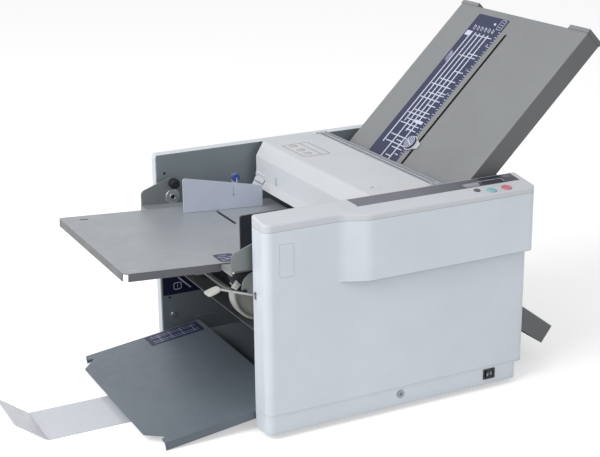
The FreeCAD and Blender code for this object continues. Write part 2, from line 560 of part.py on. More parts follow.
def operator_housing():
    cover = Piece("near_cover")
    cover.slab("z", "plinth_top", "cap_seam", plan("cover_length"))
    cover.slab("z", "bulge_bottom", "cap_seam", bulge_plan())
    cover.cut("z", "plinth_top + cover_wall", "cap_seam - cover_wall", inside_plan("cover_length"))
    cover.trim(("bulge_full + cover_heel", "cover_length - cover_heel"),
               ("cover_wall - bulge_depth", "cover_depth"),
               ("bulge_bottom + cover_wall", "cap_seam - cover_wall"))
    cover.trim(("-overrun", "cover_wall"), ("lever_y - lever_slot_width / 2",
                                            "lever_y + lever_slot_width / 2"),
               ("lever_slot_low", "lever_slot_high"))
    cover.dress("Fillet", "cap_edge",
                lambda middle, edge: near(middle.z, "plinth_top") and near(middle.x, "cover_length"))

    cap = Piece("near_top_cap")
    cap.slab("z", "cap_seam", "cap_top", plan("cover_length"))
    cap.slab("z", "cap_seam", "cap_top", bulge_plan())
    cap.cut("x", "-overrun", "cover_length + overrun",
            [("cover_depth + overrun", f"cap_top + overrun * {CAP_RISE}"),
             ("cover_depth + overrun", "cap_top + overrun * 2"),
             ("-bulge_depth - overrun", "cap_top + overrun * 2"),
             ("-bulge_depth - overrun", f"cap_top - (cover_depth + bulge_depth + overrun) * {CAP_RISE}")])
    cap.cut("z", "cap_seam", "cap_seam + cap_web", inside_plan("cover_length",
                                                               far_y="cover_depth - cover_wall"))
    cap.cut("x", "strip_left", STRIP_RIGHT, strip_section())
    for x, y, radius in BUTTONS.values():
        button_bore(cap, x, y, radius)
    cap.dress("Fillet", "cap_edge", lambda middle, edge: front_top_edge(middle))

    plinth = Piece("near_plinth")
    plinth.slab("z", "plinth_bottom", "plinth_top", plan(PLINTH_LENGTH))
    plinth.cut("z", "plinth_bottom", "plinth_top - cover_wall", inside_plan(PLINTH_LENGTH))
    plinth.cut("y", "0", "cover_wall", circle(("plug_x", "plug_z"), "plug_stem"),
               rectangle((f"{SWITCH_X} - switch_width / 2 + bezel_rim",
                          f"{SWITCH_X} + switch_width / 2 - bezel_rim"),
                         ("switch_z - switch_height / 2 + bezel_rim",
                          "switch_z + switch_height / 2 - bezel_rim")))


def on_slope(y):
    return f"(cap_top - (cover_depth - ({y})) * {CAP_RISE})"


def front_top_edge(middle):
    on_top = abs(middle.z - value(on_slope(f"{middle.y:.6f}"))) < 0.02
    inner = middle.y > value("strip_low") - 1 or (0 < middle.y and 1 < middle.x < value("cover_length") - 1)
    in_bore = any((middle.x - value(x)) ** 2 + (middle.y - value(y)) ** 2 < (value(radius) + 2) ** 2
                  for x, y, radius in BUTTONS.values())
    return on_top and not inner and not in_bore


BUTTONS = {
    "start_button": (START_X, "start_y", "start_radius"),
    "stop_button": (HALT_X, "halt_y", "halt_radius"),
    "reset_button": (RESET_X, "reset_y", "reset_radius"),
}


def button_bore(piece, x, y, radius):
    """Bore square to the sloping top, and a wider one below it for the button's skirt."""
    skirt_depth = "(button_depth - button_skirt - button_clear)"
    for above, size, length in (
            ("overrun", f"{radius} + button_clear", "overrun + button_depth + button_travel"),
            (f"-{skirt_depth}", f"{radius} + button_skirt + button_clear", "overrun + button_travel")):
        made = piece.sketch("XY_Plane", (x, f"{y} - ({above}) * sin(cap_slope * 1 deg)",
                                         f"{on_slope(y)} + ({above}) * cos(cap_slope * 1 deg)"), "cap_slope")
        trace(made, circle(("0", "0"), size))
        feature = piece.body.newObject("PartDesign::Pocket", f"{piece.body.Name}_bore_{piece.count}")
        feature.Profile = made
        feature.setExpression("Length", bound(length))


def strip_section():
    """Section of the strip in the sloping top, between its low and high edges."""
    return [("strip_low", f"{on_slope('strip_low')} - strip_sheet"),
            ("strip_high", f"{on_slope('strip_high')} - strip_sheet"),
            ("strip_high", on_slope("strip_high")), ("strip_low", on_slope("strip_low"))]


def controls():
    strip = Piece("control_strip")
    strip.slab("x", "strip_left", STRIP_RIGHT, strip_section())
    strip.cut("x", WINDOW_LEFT, WINDOW_RIGHT,
              [("window_low", f"{on_slope('window_low')} - window_sink"),
               ("window_high", f"{on_slope('window_high')} - window_sink"),
               ("window_high", f"{on_slope('window_high')} + overrun"),
               ("window_low", f"{on_slope('window_low')} + overrun")])
    window = Piece("display_window")
    window.slab("x", WINDOW_LEFT, WINDOW_RIGHT,
                [("window_low", f"{on_slope('window_low')} - window_sink"),
                 ("window_high", f"{on_slope('window_high')} - window_sink"),
                 ("window_high", f"{on_slope('window_high')} + window_proud"),
                 ("window_low", f"{on_slope('window_low')} + window_proud")])
    for label, (x, y, radius) in BUTTONS.items():
        button = Piece(label, (x, y, on_slope(y)), "cap_slope", (1, 0, 0))
        button.turned("z", ("0", "0"), [
            ("0", "-button_depth"), (f"{radius} + button_skirt", "-button_depth"),
            (f"{radius} + button_skirt", "-button_depth + button_skirt"),
            (radius, "-button_depth + button_skirt"),
            (radius, "button_proud", "button_round"), ("0", "button_proud")])


def mains():
    half_width, half_height = "switch_width / 2", "switch_height / 2"
    bezel = Piece("switch_bezel")
    bezel.slab("y", "-bezel_proud", "0", rounded(
        (f"{SWITCH_X} - {half_width}", f"{SWITCH_X} + {half_width}"),
        (f"switch_z - {half_height}", f"switch_z + {half_height}"), "bezel_rim / 2"))
    across = (f"{SWITCH_X} - {half_width} + bezel_rim", f"{SWITCH_X} + {half_width} - bezel_rim")
    up = (f"switch_z - {half_height} + bezel_rim", f"switch_z + {half_height} - bezel_rim")
    bezel.box(across, ("-bezel_proud", "bezel_depth"), up)
    bezel.trim((f"{across[0]} + bezel_rim / 2", f"{across[1]} - bezel_rim / 2"),
               ("-bezel_proud", "rocker_depth + rocker_rise"),
               (f"{up[0]} + bezel_rim / 2", f"{up[1]} - bezel_rim / 2"))
    rocker = Piece("rocker_switch")
    left = f"({across[0]} + bezel_rim / 2 + 2 * slide_clear)"
    right = f"({across[1]} - bezel_rim / 2 - 2 * slide_clear)"
    rocker.slab("z", f"{up[0]} + bezel_rim / 2 + slide_clear", f"{up[1]} - bezel_rim / 2 - slide_clear",
                [(left, "-bezel_proud - rocker_rise"), (SWITCH_X, "rocker_dip - bezel_proud"),
                 (right, "-bezel_proud + rocker_dip"),
                 (f"{right} - rocker_rise", "rocker_depth - rocker_rise"),
                 (f"{left} + rocker_rise", "rocker_depth - rocker_rise")])

    inlet = Piece("power_inlet")
    y_span = ("inlet_y - inlet_width / 2", "inlet_y + inlet_width / 2")
    z_span = ("inlet_z - inlet_height / 2", "inlet_z + inlet_height / 2")
    outside = f"{FRAME_RIGHT} + panel_sheet"
    inlet.slab("x", outside, f"{outside} + inlet_flange_sheet", rounded(
        (f"{y_span[0]} - inlet_flange", f"{y_span[1]} + inlet_flange"),
        (f"{z_span[0]} - inlet_flange", f"{z_span[1]} + inlet_flange"), "inlet_flange / 2"))
    inlet.slab("x", f"{outside} - inlet_depth", outside, rounded(y_span, z_span, "inlet_wall"))
    inlet.cut("x", f"{outside} - inlet_depth + inlet_wall", f"{outside} + inlet_flange_sheet", rounded(
        (f"{y_span[0]} + inlet_wall", f"{y_span[1]} - inlet_wall"),
        (f"{z_span[0]} + inlet_wall", f"{z_span[1]} - inlet_wall"), "inlet_wall"))
    for across_share, lift in ((-1, 0), (1, 0), (0, "blade_rise")):
        middle = f"(inlet_y + {across_share} * blade_pitch)"
        inlet.slab("x", f"{outside} - inlet_depth + inlet_wall",
                   f"{outside} - inlet_depth + inlet_wall + blade_length",
                   rectangle((f"{middle} - blade_height / 2", f"{middle} + blade_height / 2"),
                             (f"inlet_z + {lift} - blade_width / 2", f"inlet_z + {lift} + blade_width / 2")))


def enclosure():
    far_cover = Piece("far_cover")
    far_cover.slab("z", "pan_z + pan_sheet", "frame_top", [
        ("far_left", FAR_FACE), (FAR_RIGHT, FAR_FACE), (FAR_RIGHT, FAR_OUTSIDE, "far_corner"),
        ("far_left", FAR_OUTSIDE, "far_corner")])
    far_cover.cut("z", "pan_z + pan_sheet + cover_wall", "frame_top - cover_wall", [
        ("far_left + cover_wall", f"{FAR_FACE} - overrun"),
        (f"{FAR_RIGHT} - cover_wall", f"{FAR_FACE} - overrun"),
        (f"{FAR_RIGHT} - cover_wall", f"{FAR_OUTSIDE} - cover_wall", "far_corner - cover_wall"),
        ("far_left + cover_wall", f"{FAR_OUTSIDE} - cover_wall", "far_corner - cover_wall")])
    far_cover.dress("Fillet", "far_edge", lambda middle, edge: near(middle.z, "frame_top")
                    and near(middle.y, FAR_OUTSIDE))

    panel = Piece("rear_panel")
    outside = f"{FRAME_RIGHT} + panel_sheet"
    panel.slab("x", FRAME_RIGHT, outside, rectangle((BAY_NEAR, FRAME_FAR), ("pan_z", "panel_top")))
    panel.cut("x", FRAME_RIGHT, outside,
              rectangle((f"{BAY_NEAR} + panel_side", f"{FRAME_FAR} - panel_side"),
                        ("panel_window_low", "panel_window_high")),
              rounded(("inlet_y - inlet_width / 2", "inlet_y + inlet_width / 2"),
                      ("inlet_z - inlet_height / 2", "inlet_z + inlet_height / 2"), "inlet_wall"))
    panel.box((f"{outside} - panel_top_lip", outside), (BAY_NEAR, FRAME_FAR),
              ("panel_top", "panel_top + panel_sheet"))

    channel = Piece("rear_channel")
    floor = "(channel_low + channel_base)"
    top = "cap_top - seam"
    pitch = "((channel_width - channel_lip) / 2)"
    outline = [("channel_left", "channel_low"), ("channel_left + channel_width", "channel_low")]
    for number in (2, 1, 0):
        lip = f"(channel_left + {number} * {pitch})"
        outline += [(f"{lip} + channel_lip", floor if number < 2 else top),
                    (f"{lip} + channel_lip", top)][0 if number < 2 else 1:]
        outline += [(lip, top), (lip, floor)][:1 if number == 0 else 2]
    channel.slab("y", BAY_NEAR, FRAME_FAR, outline)


def top_cover():
    lid = Piece("top_cover")
    wall = "lid_wall"
    low, high = f"{BAY_NEAR} + seam", f"{FRAME_FAR} - lid_end_gap"
    outer = [("lid_rear", "cap_top"), (LID_RIDGE, "cap_top", "lid_wall * 2"),
             ("lid_front", LID_SHOULDER, "lid_wall * 2"), ("lid_front", LID_KNEE), (LID_LIP_X, LID_LIP_Z)]
    inner = [(f"{LID_LIP_X} + lid_wall", LID_LIP_Z), ("lid_front + lid_wall", f"{LID_KNEE} - lid_wall / 2"),
             ("lid_front + lid_wall", f"{LID_SHOULDER} - lid_wall / 2"),
             (f"{LID_RIDGE} + lid_wall / 2", f"cap_top - {wall}"), ("lid_rear", f"cap_top - {wall}")]
    lid.slab("y", low, high, outer + inner)
    cheek = [("lid_rear", "cap_top - lid_wall / 2"), (f"{LID_RIDGE} + lid_wall", "cap_top - lid_wall / 2"),
             ("lid_front + lid_wall / 2", LID_SHOULDER), ("lid_front + lid_wall / 2", LID_CHEEK_LOW),
             (f"{LID_CHEEK_FRONT} + lid_wall", LID_CHEEK_LOW),
             ("lid_rear", "lid_pin_z - lid_pin_radius * 2")]
    lid.slab("y", low, f"{low} + lid_pin_length", cheek)
    lid.slab("y", f"{high} - lid_pin_length", high, cheek)
    lid.slab("y", "cover_depth + seam", f"{FAR_FACE} - seam",
             rectangle((f"{LID_RIDGE} + lid_wall", "lid_lip_rear"), (f"cap_top - {wall}", "cap_top")))
    for number in (1, 2, 3):
        middle = f"({low} + {number} * lid_rib_pitch)"
        lid.slab("y", middle, f"{middle} + {wall}", [
            ("lid_lip_rear", "cap_top - lid_wall / 2"),
            (f"{LID_RIDGE} + lid_wall", "cap_top - lid_wall / 2"),
            (f"{LID_RIDGE} + lid_wall * 2", f"cap_top - {wall} - lid_rib_depth"),
            ("lid_lip_rear", f"cap_top - {wall} - lid_rib_depth")])
    pin = circle(("lid_pin_x", "lid_pin_z"), "lid_pin_radius + run_clear")
    lid.cut("y", "cover_depth", f"{low} + lid_pin_length", pin)
    lid.cut("y", f"{high} - lid_pin_length", FAR_FACE, pin)


# Feed table: its own frame lies on the sloping table top
def table_top(x):
    return f"(table_z - ({x}) * tan(table_tilt * 1 deg))"


def feed_table():
    table = Piece("feed_table", ("0", "0", "table_z"), "table_tilt")
    table.slab("z", "-table_sheet", "0", [
        ("-table_left", "table_near + table_notch"), ("-table_left + table_notch", "table_near"),
        ("table_right", "table_near"), ("table_right", "table_far"),
        ("-table_left", "table_far", "table_corner")])
    table.box(("-table_left + table_notch", "-table_flange_end"), ("table_near", "table_near + table_sheet"),
              ("-table_flange", "0"))
    table.box(("-table_left", "table_sheet - table_left"),
              ("table_near + table_notch", "table_far - table_corner"),
              ("-table_flange", "0"))
    slot_x = ("guide_slot_x - guide_slot_width / 2", "guide_slot_x + guide_slot_width / 2")
    middle = "(table_near + table_far) / 2"
    table.cut("z", "-table_sheet", "0",
              rounded(slot_x, ("table_near + guide_slot_margin", f"{middle} - guide_slot_gap / 2"),
                      "guide_slot_width / 3"),
              rounded(slot_x, (f"{middle} + guide_slot_gap / 2", "table_far - guide_slot_margin"),
                      "guide_slot_width / 3"),
              rounded(("oval_slot_x", "oval_slot_x + oval_slot_length"),
                      ("oval_slot_y", "oval_slot_y + oval_slot_width"), "oval_slot_width / 3"))

    carrier = Piece("table_carrier")
    near_ear = plus(BAY_NEAR, "ear_inset")
    far_ear = less(FRAME_FAR, "ear_inset")
    thick = "table_sheet / cos(table_tilt * 1 deg)"

    def under(x, drop="0"):
        return f"({table_top(x)} - {thick} - ({drop}))"
    ear = [("ear_left", under("ear_left")), ("ear_left", "ear_shoulder", "ear_round"),
           ("ear_peak_x", "ear_peak_z", "ear_peak_round"), ("ear_right", "ear_right_z"),
           ("ear_right", under("ear_right"))]
    carrier.slab("y", near_ear, f"{near_ear} + ear_sheet", ear)
    carrier.slab("y", near_ear, far_ear, [
        ("saddle_left", under("saddle_left")), ("saddle_left", under("saddle_left", "saddle_flange")),
        ("saddle_left + saddle_sheet", under("saddle_left + saddle_sheet", "saddle_flange")),
        ("saddle_left + saddle_sheet", under("saddle_left + saddle_sheet", "saddle_sheet")),
        ("ear_right", under("ear_right", "saddle_sheet")), ("ear_right", under("ear_right"))])
    carrier.slab("y", f"{far_ear} - ear_sheet", far_ear, ear)
    hole = circle(("pivot_x", "pivot_z"), "pivot_radius + run_clear")
    carrier.cut("y", near_ear, f"{near_ear} + ear_sheet", hole)
    carrier.cut("y", f"{far_ear} - ear_sheet", far_ear, hole,
                circle(("table_knob_x", "table_knob_z"), "knob_stud_radius + run_clear"))

    knob = Piece("table_knob")
    face = f"({far_ear} - ear_sheet - seam)"
    knob.turned("y", ("table_knob_x", "table_knob_z"), [
        ("0", f"{face} - table_knob_width"), ("table_knob_radius", f"{face} - table_knob_width",
                                              "knob_edge"),
        ("table_knob_radius", face), ("knob_stud_radius", face),
        ("knob_stud_radius", f"{far_ear} + knob_edge"),
        ("0", f"{far_ear} + knob_edge")])


def guide_base(piece, low, high, foot_high):
    """Foot on the table, stem through its slot and shoe below it."""
    rest = "slide_clear"
    piece.slab("y", high, foot_high, [
        ("guide_left + guide_foot", f"{table_top('guide_left + guide_foot')} + {rest}"),
        ("guide_right", f"{table_top('guide_right')} + {rest}"),
        ("guide_right", f"{table_top('guide_right')} + {rest} + guide_foot_sheet"),
        ("guide_left + guide_foot", f"{table_top('guide_left + guide_foot')} + {rest} + guide_foot_sheet")])
    shoe_top = "(table_z - guide_slot_x * tan(table_tilt * 1 deg) - table_sheet - guide_shoe_height / 2)"
    piece.box(("guide_slot_x - guide_stem / 2", "guide_slot_x + guide_stem / 2"), (low, high),
              (shoe_top, f"{table_top('guide_slot_x')} + guide_shoe_height"))
    piece.box(("guide_slot_x - guide_shoe / 2", "guide_slot_x + guide_shoe / 2"), (low, high),
              (f"{shoe_top} - guide_shoe_height", shoe_top))


def guides():
    rest = "slide_clear"
    near_guide = Piece("near_guide")
    low, high = "guide_y", "guide_y + guide_sheet"
    near_guide.slab("y", low, high, [
        ("guide_left", f"{table_top('guide_left')} + {rest}"), ("guide_left", "guide_top", "guide_round"),
        ("guide_tail_x", "guide_top"), ("guide_right", "guide_tail_z"),
        ("guide_right", f"{table_top('guide_right')} + {rest}")])
    guide_base(near_guide, low, high, f"{high} + guide_foot")

    fence = Piece("far_guide")
    low, high = "fence_y", "fence_y + fence_sheet"
    fence.slab("y", low, high, [
        ("guide_left", f"{table_top('guide_left')} + {rest}"), ("guide_left", "fence_top", "fence_round"),
        ("fence_right", "fence_right_z"), ("fence_right", f"{table_top('fence_right')} + {rest}")])
    guide_base(fence, low, high, f"{high} + fence_foot")
    tab_low = f"({high} + dial_gap + dial_width + seam)"
    sides = ("dial_x - dial_tab_half", "dial_x + dial_tab_half")
    fence.box(sides, (high, f"{tab_low} + dial_tab_sheet"), ("dial_web_z - dial_tab_sheet", "dial_web_z"))
    fence.slab("y", tab_low, f"{tab_low} + dial_tab_sheet", [
        (sides[0], "dial_web_z - dial_tab_sheet"), (sides[1], "dial_web_z - dial_tab_sheet"),
        (sides[1], "dial_z + dial_tab_half", "dial_pin"), (sides[0], "dial_z + dial_tab_half", "dial_pin")])
    fence.slab("y", f"{tab_low} - dial_width - seam + dial_pointer", tab_low,
               circle(("dial_x", "dial_z"), "dial_pin"))

    dial = Piece("skew_knob")
    back = f"({tab_low} - seam)"
    front = f"({back} - dial_width)"
    dial.turned("y", ("dial_x", "dial_z"), [
        ("0", front), ("dial_radius", front, "knob_edge"), ("dial_radius", back),
        ("dial_pin + run_clear", back),
        ("dial_pin + run_clear", f"{front} + dial_pointer"), ("0", f"{front} + dial_pointer")])
    dial.box(("dial_x - dial_pointer / 2", "dial_x + dial_pointer / 2"),
             (f"{front} - dial_pointer / 2", front),
             ("dial_z", "dial_z + dial_radius - knob_edge"))


def lever_bar():
    half = "lever_height / 2"
    return [("lever_pivot_x", f"lever_pivot_z + {half}"), ("lever_end_x", f"lever_end_z + {half}"),
            ("lever_end_x", f"lever_end_z - {half}"), ("lever_pivot_x", f"lever_pivot_z - {half}")]


def release_lever():
    lever = Piece("release_lever")
    low, high = "lever_y - lever_sheet / 2", "lever_y + lever_sheet / 2"
    lever.slab("y", low, high, lever_bar())
    lever.slab("y", "lever_y - lever_hub_width / 2", "lever_y + lever_hub_width / 2",
               circle(("lever_pivot_x", "lever_pivot_z"), "lever_hub"))
    lever.cut("y", "lever_y - lever_hub_width / 2", "lever_y + lever_hub_width / 2",
              circle(("lever_pivot_x", "lever_pivot_z"), "lever_stud + run_clear"))
    grip = Piece("lever_tip")
    grip.slab("y", "lever_y - grip_width / 2", "lever_y + grip_width / 2", [
        ("grip_left", "grip_left_top - grip_thick", "grip_round"),
        ("grip_right", "grip_right_top - grip_thick", "grip_round"),
        ("grip_right", "grip_right_top", "grip_round"), ("grip_left", "grip_left_top", "grip_round")])
    grip.cut("y", low, high, lever_bar())


def feed_roller():
    shaft = Piece("feed_shaft")
    near_end = "(cover_depth - bush_outside - journal_gap)"
    shaft.turned("y", ("feed_x", "feed_z"), [
        ("0", near_end), ("feed_shaft_radius", near_end), ("feed_shaft_radius", "feed_belt_y - run_clear"),
        ("far_pulley_radius", "feed_belt_y - run_clear"),
        ("far_pulley_radius", "feed_belt_y + far_pulley_width"), ("0", "feed_belt_y + far_pulley_width")])
    tyres = []
    middle = f"(({BAY_NEAR} + {FRAME_FAR}) / 2)"
    for name, share in (("near", -1), ("far", 1)):
        low = f"({middle} + {share} * (tyre_width + tyre_gap) / 2 - tyre_width / 2)"
        tyres.append(tube(f"{name}_tyre", ("feed_x", "feed_z"), "tyre_radius", "feed_shaft_radius",
                          low, f"{low} + tyre_width"))
    group("feed_tyres", tyres)

    pad = Piece("separator_pad")
    top = "(feed_z - tyre_radius - nip_gap)"
    sides = (f"{middle} - pad_width / 2", f"{middle} + pad_width / 2")
    pad.box(("pad_left", "pad_right"), sides, (f"{top} - pad_height", top))
    pad.box(("pad_left", "pad_bar_x + bar_radius"), sides,
            (f"{top} - pad_height - pad_plate", f"{top} - pad_height"))
    pad.slab("y", sides[0], sides[1], rectangle(
        ("pad_bar_x - bar_radius - pad_plate", "pad_bar_x + bar_radius + pad_plate"),
        ("pad_bar_z - bar_radius / 2", f"{top} - pad_height")))
    pad.cut("y", sides[0], sides[1], circle(("pad_bar_x", "pad_bar_z"), "bar_radius"))


def fold_roller(name):
    """Steel journals in one piece with the rubber-covered drum."""
    roller = Piece(f"fold_roller_{name}")
    near_end = {"d": "pulley_y"}.get(name, "gear_y")
    far_end = {"a": "feed_belt_y + far_pulley_width", "b": "delivery_belt_y + far_pulley_width"}.get(
        name, f"{FAR_FACE} + bush_outside + journal_gap")
    low = f"({BAY_NEAR} + bush_inside + journal_gap)"
    high = f"({FRAME_FAR} - bush_inside - journal_gap)"
    profile = [("0", near_end), ("journal_radius", near_end), ("journal_radius", low),
               ("journal_shoulder", low),
               ("journal_shoulder", f"{low} + roller_groove"), (ROLLER, f"{low} + roller_groove"),
               (ROLLER, f"{high} - roller_groove"), ("journal_shoulder", f"{high} - roller_groove"),
               ("journal_shoulder", high), ("journal_radius", high)]
    pulley = {"a": "feed_belt_y", "b": "delivery_belt_y"}.get(name)
    if pulley:
        profile += [("journal_radius", f"{pulley} - run_clear"),
                    ("far_pulley_radius", f"{pulley} - run_clear"),
                    ("far_pulley_radius", far_end)]
    else:
        profile += [("journal_radius", far_end)]
    roller.turned("y", ROLLER_AT[name], profile + [("0", far_end)])


def gear(name):
    """Spur gear: disc, one tooth and its pattern; the lowest carries the belt pulley."""
    angle = {"a": "nip_angle_a", "c": "nip_angle_c", "d": "nip_angle_d"}.get(name)
    turn = f"-(2 * {angle} + 180 / gear_teeth)" if angle else "0"
    x, z = ROLLER_AT[name]
    piece = Piece(f"gear_{name}", (x, "gear_y", z), turn)
    root = f"({PITCH} / 2 - tooth_root_share * gear_module)"
    tip = f"({PITCH} / 2 + gear_module)"
    piece.slab("y", "0", "gear_width", circle(("0", "0"), root))
    half = "(gear_module * pi / 4 * tooth_share)"
    lean = "tan(flank_angle * 1 deg)"
    foot = f"({half} + tooth_root_share * gear_module * {lean})"
    crest = f"({half} - gear_module * {lean})"
    tooth = piece.slab("y", "0", "gear_width", [
        (f"{root} - gear_module", f"-{foot}"), (root, f"-{foot}"), (tip, f"-{crest}"), (tip, crest),
        (root, foot), (f"{root} - gear_module", foot)])
    wheel = piece.body.newObject("PartDesign::PolarPattern", f"gear_{name}_teeth")
    wheel.Originals = [tooth]
    wheel.Axis = ([item for item in piece.body.Origin.OriginFeatures if item.Role == "Y_Axis"][0], [""])
    wheel.setExpression("Occurrences", bound("gear_teeth"))
    wheel.Angle = 360
    piece.body.Tip = wheel
    if name == "d":
        piece.slab("y", "pulley_y - gear_y", "pulley_y - gear_y + pulley_width",
                   circle(("0", "0"), "train_pulley_radius"))
        piece.slab("y", "pulley_y - gear_y", "0", circle(("0", "0"), "gear_hub"))
    piece.cut("y", "pulley_y - gear_y - overrun", "gear_width", circle(("0", "0"), "journal_radius"))


def bushes():
    centres = [ROLLER_AT[name] for name in "abcd"] + [("feed_x", "feed_z"), ("wheel_x", "wheel_z")]
    rings = []
    for number, centre in enumerate(centres):
        bore = "journal_radius + run_clear"
        near_low, near_high = "cover_depth - bush_outside", f"{BAY_NEAR} + bush_inside"
        far_low, far_high = f"{FRAME_FAR} - bush_inside", f"{FAR_FACE} + bush_outside"
        rings.append(fused(f"near_bush_{number}", [
            tube(f"near_sleeve_{number}", centre, "bush_radius", bore, near_low, near_high),
            tube(f"near_collar_{number}", centre, "bush_flange", bore, BAY_NEAR,
                 f"{BAY_NEAR} + bush_flange_sheet")]))
        rings.append(fused(f"far_bush_{number}", [
            tube(f"far_sleeve_{number}", centre, "bush_radius", bore, far_low, far_high),
            tube(f"far_collar_{number}", centre, "bush_flange", bore, f"{FRAME_FAR} - bush_flange_sheet",
                 FRAME_FAR)]))
    group("shaft_bushes", rings)


def drive():
    motor = Piece("drive_motor")
    centre = (MOTOR_X, "motor_z")
    flange = f"({BAY_NEAR} + motor_flange_sheet)"
    motor.slab("y", BAY_NEAR, flange, rounded(
        (f"{MOTOR_X} - motor_flange", f"{MOTOR_X} + motor_flange"),
        ("motor_z - motor_flange", "motor_z + motor_flange"),
        "motor_corner"))
    end = f"({BAY_NEAR} + motor_length)"
    rib = f"({end} - {flange}) / 4"
    profile = [("0", flange)]
    profile += [("motor_radius - motor_rib", flange)]
    for number in (1, 2, 3):
        low = f"({flange} + {number} * {rib} - motor_rib)"
        profile += [("motor_radius - motor_rib", low), ("motor_radius", low),
                    ("motor_radius", f"{low} + motor_rib"),
                    ("motor_radius - motor_rib", f"{low} + motor_rib")]
    profile += [("motor_radius - motor_rib", end, "motor_corner"), ("0", end)]
    motor.turned("y", centre, profile)
    motor.slab("y", "cover_depth", BAY_NEAR, circle(centre, "motor_boss"))
    motor.cut("y", "cover_depth", f"{BAY_NEAR} + motor_bore_depth",
              circle(centre, "motor_shaft + run_clear"))

    pulley = Piece("motor_pulley")
    far_rim = "pulley_y + pulley_width - pulley_rim_width"
    pulley.turned("y", centre, [
        ("0", "pulley_y"), ("motor_pulley_radius + pulley_rim", "pulley_y"),
        ("motor_pulley_radius + pulley_rim", "pulley_y + pulley_rim_width"),
        ("motor_pulley_radius", "pulley_y + pulley_rim_width"), ("motor_pulley_radius", far_rim),
        ("motor_pulley_radius + pulley_rim", far_rim),
        ("motor_pulley_radius + pulley_rim", "pulley_y + pulley_width"),
        ("motor_shaft", "pulley_y + pulley_width"),
        ("motor_shaft", f"{BAY_NEAR} + motor_bore_depth - run_clear"),
        ("0", f"{BAY_NEAR} + motor_bore_depth - run_clear")])


def belt(label, first, second, low, width):
    """Flat belt round two pulleys: arcs and their common tangents, offset by the sheet."""
    rings = []
    for extra in ("belt_gap + belt_sheet", "belt_gap"):
        one = FreeCAD.Vector(value(first[0]), 0, value(first[1]))
        two = FreeCAD.Vector(value(second[0]), 0, value(second[1]))
        size_one = value(f"{first[2]} + {extra}")
        size_two = value(f"{second[2]} + {extra}")
        line = two - one
        reach = line.Length
        along = FreeCAD.Vector(line).normalize()
        across = FreeCAD.Vector(along.z, 0, -along.x)
        lean = (size_one - size_two) / reach
        spread = math.sqrt(1 - lean * lean)
        points = {}
        for side in (1, -1):
            normal = along * lean + across * (spread * side)
            points[side] = (one + normal * size_one, two + normal * size_two)
        edges = [Part.LineSegment(points[1][0], points[1][1]).toShape(),
                 Part.Arc(points[1][1], two + along * size_two, points[-1][1]).toShape(),
                 Part.LineSegment(points[-1][1], points[-1][0]).toShape(),
                 Part.Arc(points[-1][0], one - along * size_one, points[1][0]).toShape()]
        rings.append(Part.Wire(edges))
    ring = Part.Face(rings[0]).cut(Part.Face(rings[1]))
    solid = ring.extrude(FreeCAD.Vector(0, value(width), 0)).Solids[0]
    made = document.addObject("Part::Feature", label)
    made.Label = label
    made.Shape = solid
    made.setExpression("Placement.Base.x", bound(f"-{MIDDLE_X}"))
    made.setExpression("Placement.Base.y", bound(f"{low} - {MIDDLE_Y}"))
    NODES.append(made)


def belts():
    belt("drive_belt", (MOTOR_X, "motor_z", "motor_pulley_radius"), (*ROLLER_AT["d"], "train_pulley_radius"),
         "pulley_y + (pulley_width - belt_width) / 2", "belt_width")
    far_low = "(far_pulley_width - far_belt_width) / 2"
    belt("feed_belt", (*ROLLER_AT["a"], "far_pulley_radius"), ("feed_x", "feed_z", "far_pulley_radius"),
         f"feed_belt_y + {far_low}", "far_belt_width")
    belt("delivery_belt", (*ROLLER_AT["b"], "far_pulley_radius"),
         ("wheel_x", "wheel_z", "far_pulley_radius"),
         f"delivery_belt_y + {far_low}", "far_belt_width")


# Delivery: wheels on their shaft, chute, deflector, tray and its stop
def delivery_wheels():
    shaft = Piece("delivery_shaft")
    centre = ("wheel_x", "wheel_z")
    near_end = "(cover_depth - bush_outside - journal_gap)"
    shaft.turned("y", centre, [
        ("0", near_end), ("wheel_shaft", near_end), ("wheel_shaft", "delivery_belt_y - run_clear"),
        ("far_pulley_radius", "delivery_belt_y - run_clear"),
        ("far_pulley_radius", "delivery_belt_y + far_pulley_width"),
        ("0", "delivery_belt_y + far_pulley_width")])
    far_low = f"({BAY_NEAR} + {FRAME_FAR} - wheel_y - wheel_width)"
    for label, low in (("near_wheel", "wheel_y"), ("far_wheel", far_low)):
        wheel = Piece(label)
        high = f"({low} + wheel_width)"
        wheel.turned("y", centre, [
            ("wheel_shaft + run_clear", low), ("wheel_hub", low), ("wheel_hub", f"{low} + wheel_dish"),
            ("wheel_radius - wheel_rim", f"{low} + wheel_dish"), ("wheel_radius - wheel_rim", low),
            ("wheel_radius", low, "wheel_round"), ("wheel_radius", high, "wheel_round"),
            ("wheel_radius - wheel_rim", high), ("wheel_radius - wheel_rim", f"{high} - wheel_dish"),
            ("wheel_hub", f"{high} - wheel_dish"), ("wheel_hub", high), ("wheel_shaft + run_clear", high)])


def chute():
    guide = Piece("exit_chute")
    low = "chute_near"
    high = f"{FRAME_FAR} - (chute_near - {BAY_NEAR})"
    top = [("chute_top_x", "chute_top_z"), ("chute_bend_x", "chute_bend_z"), ("chute_end_x", "chute_end_z")]
    rise = "((chute_top_z - chute_bend_z) / (chute_top_x - chute_bend_x))"
    drop = f"(chute_sheet * sqrt(1 + {rise} ^ 2))"
    under = [(x, f"{z} - {drop}") for x, z in reversed(top)]
    guide.slab("y", low, high, top + under)
    skirt = [(x, f"{z} - {drop} - chute_flange") for x, z in reversed(top)]
    guide.slab("y", low, f"{low} + chute_sheet", top + skirt)
    guide.slab("y", f"{high} - chute_sheet", high, top + skirt)
    guide.cut("y", low, high, circle(chute_bar(), "bar_radius"))


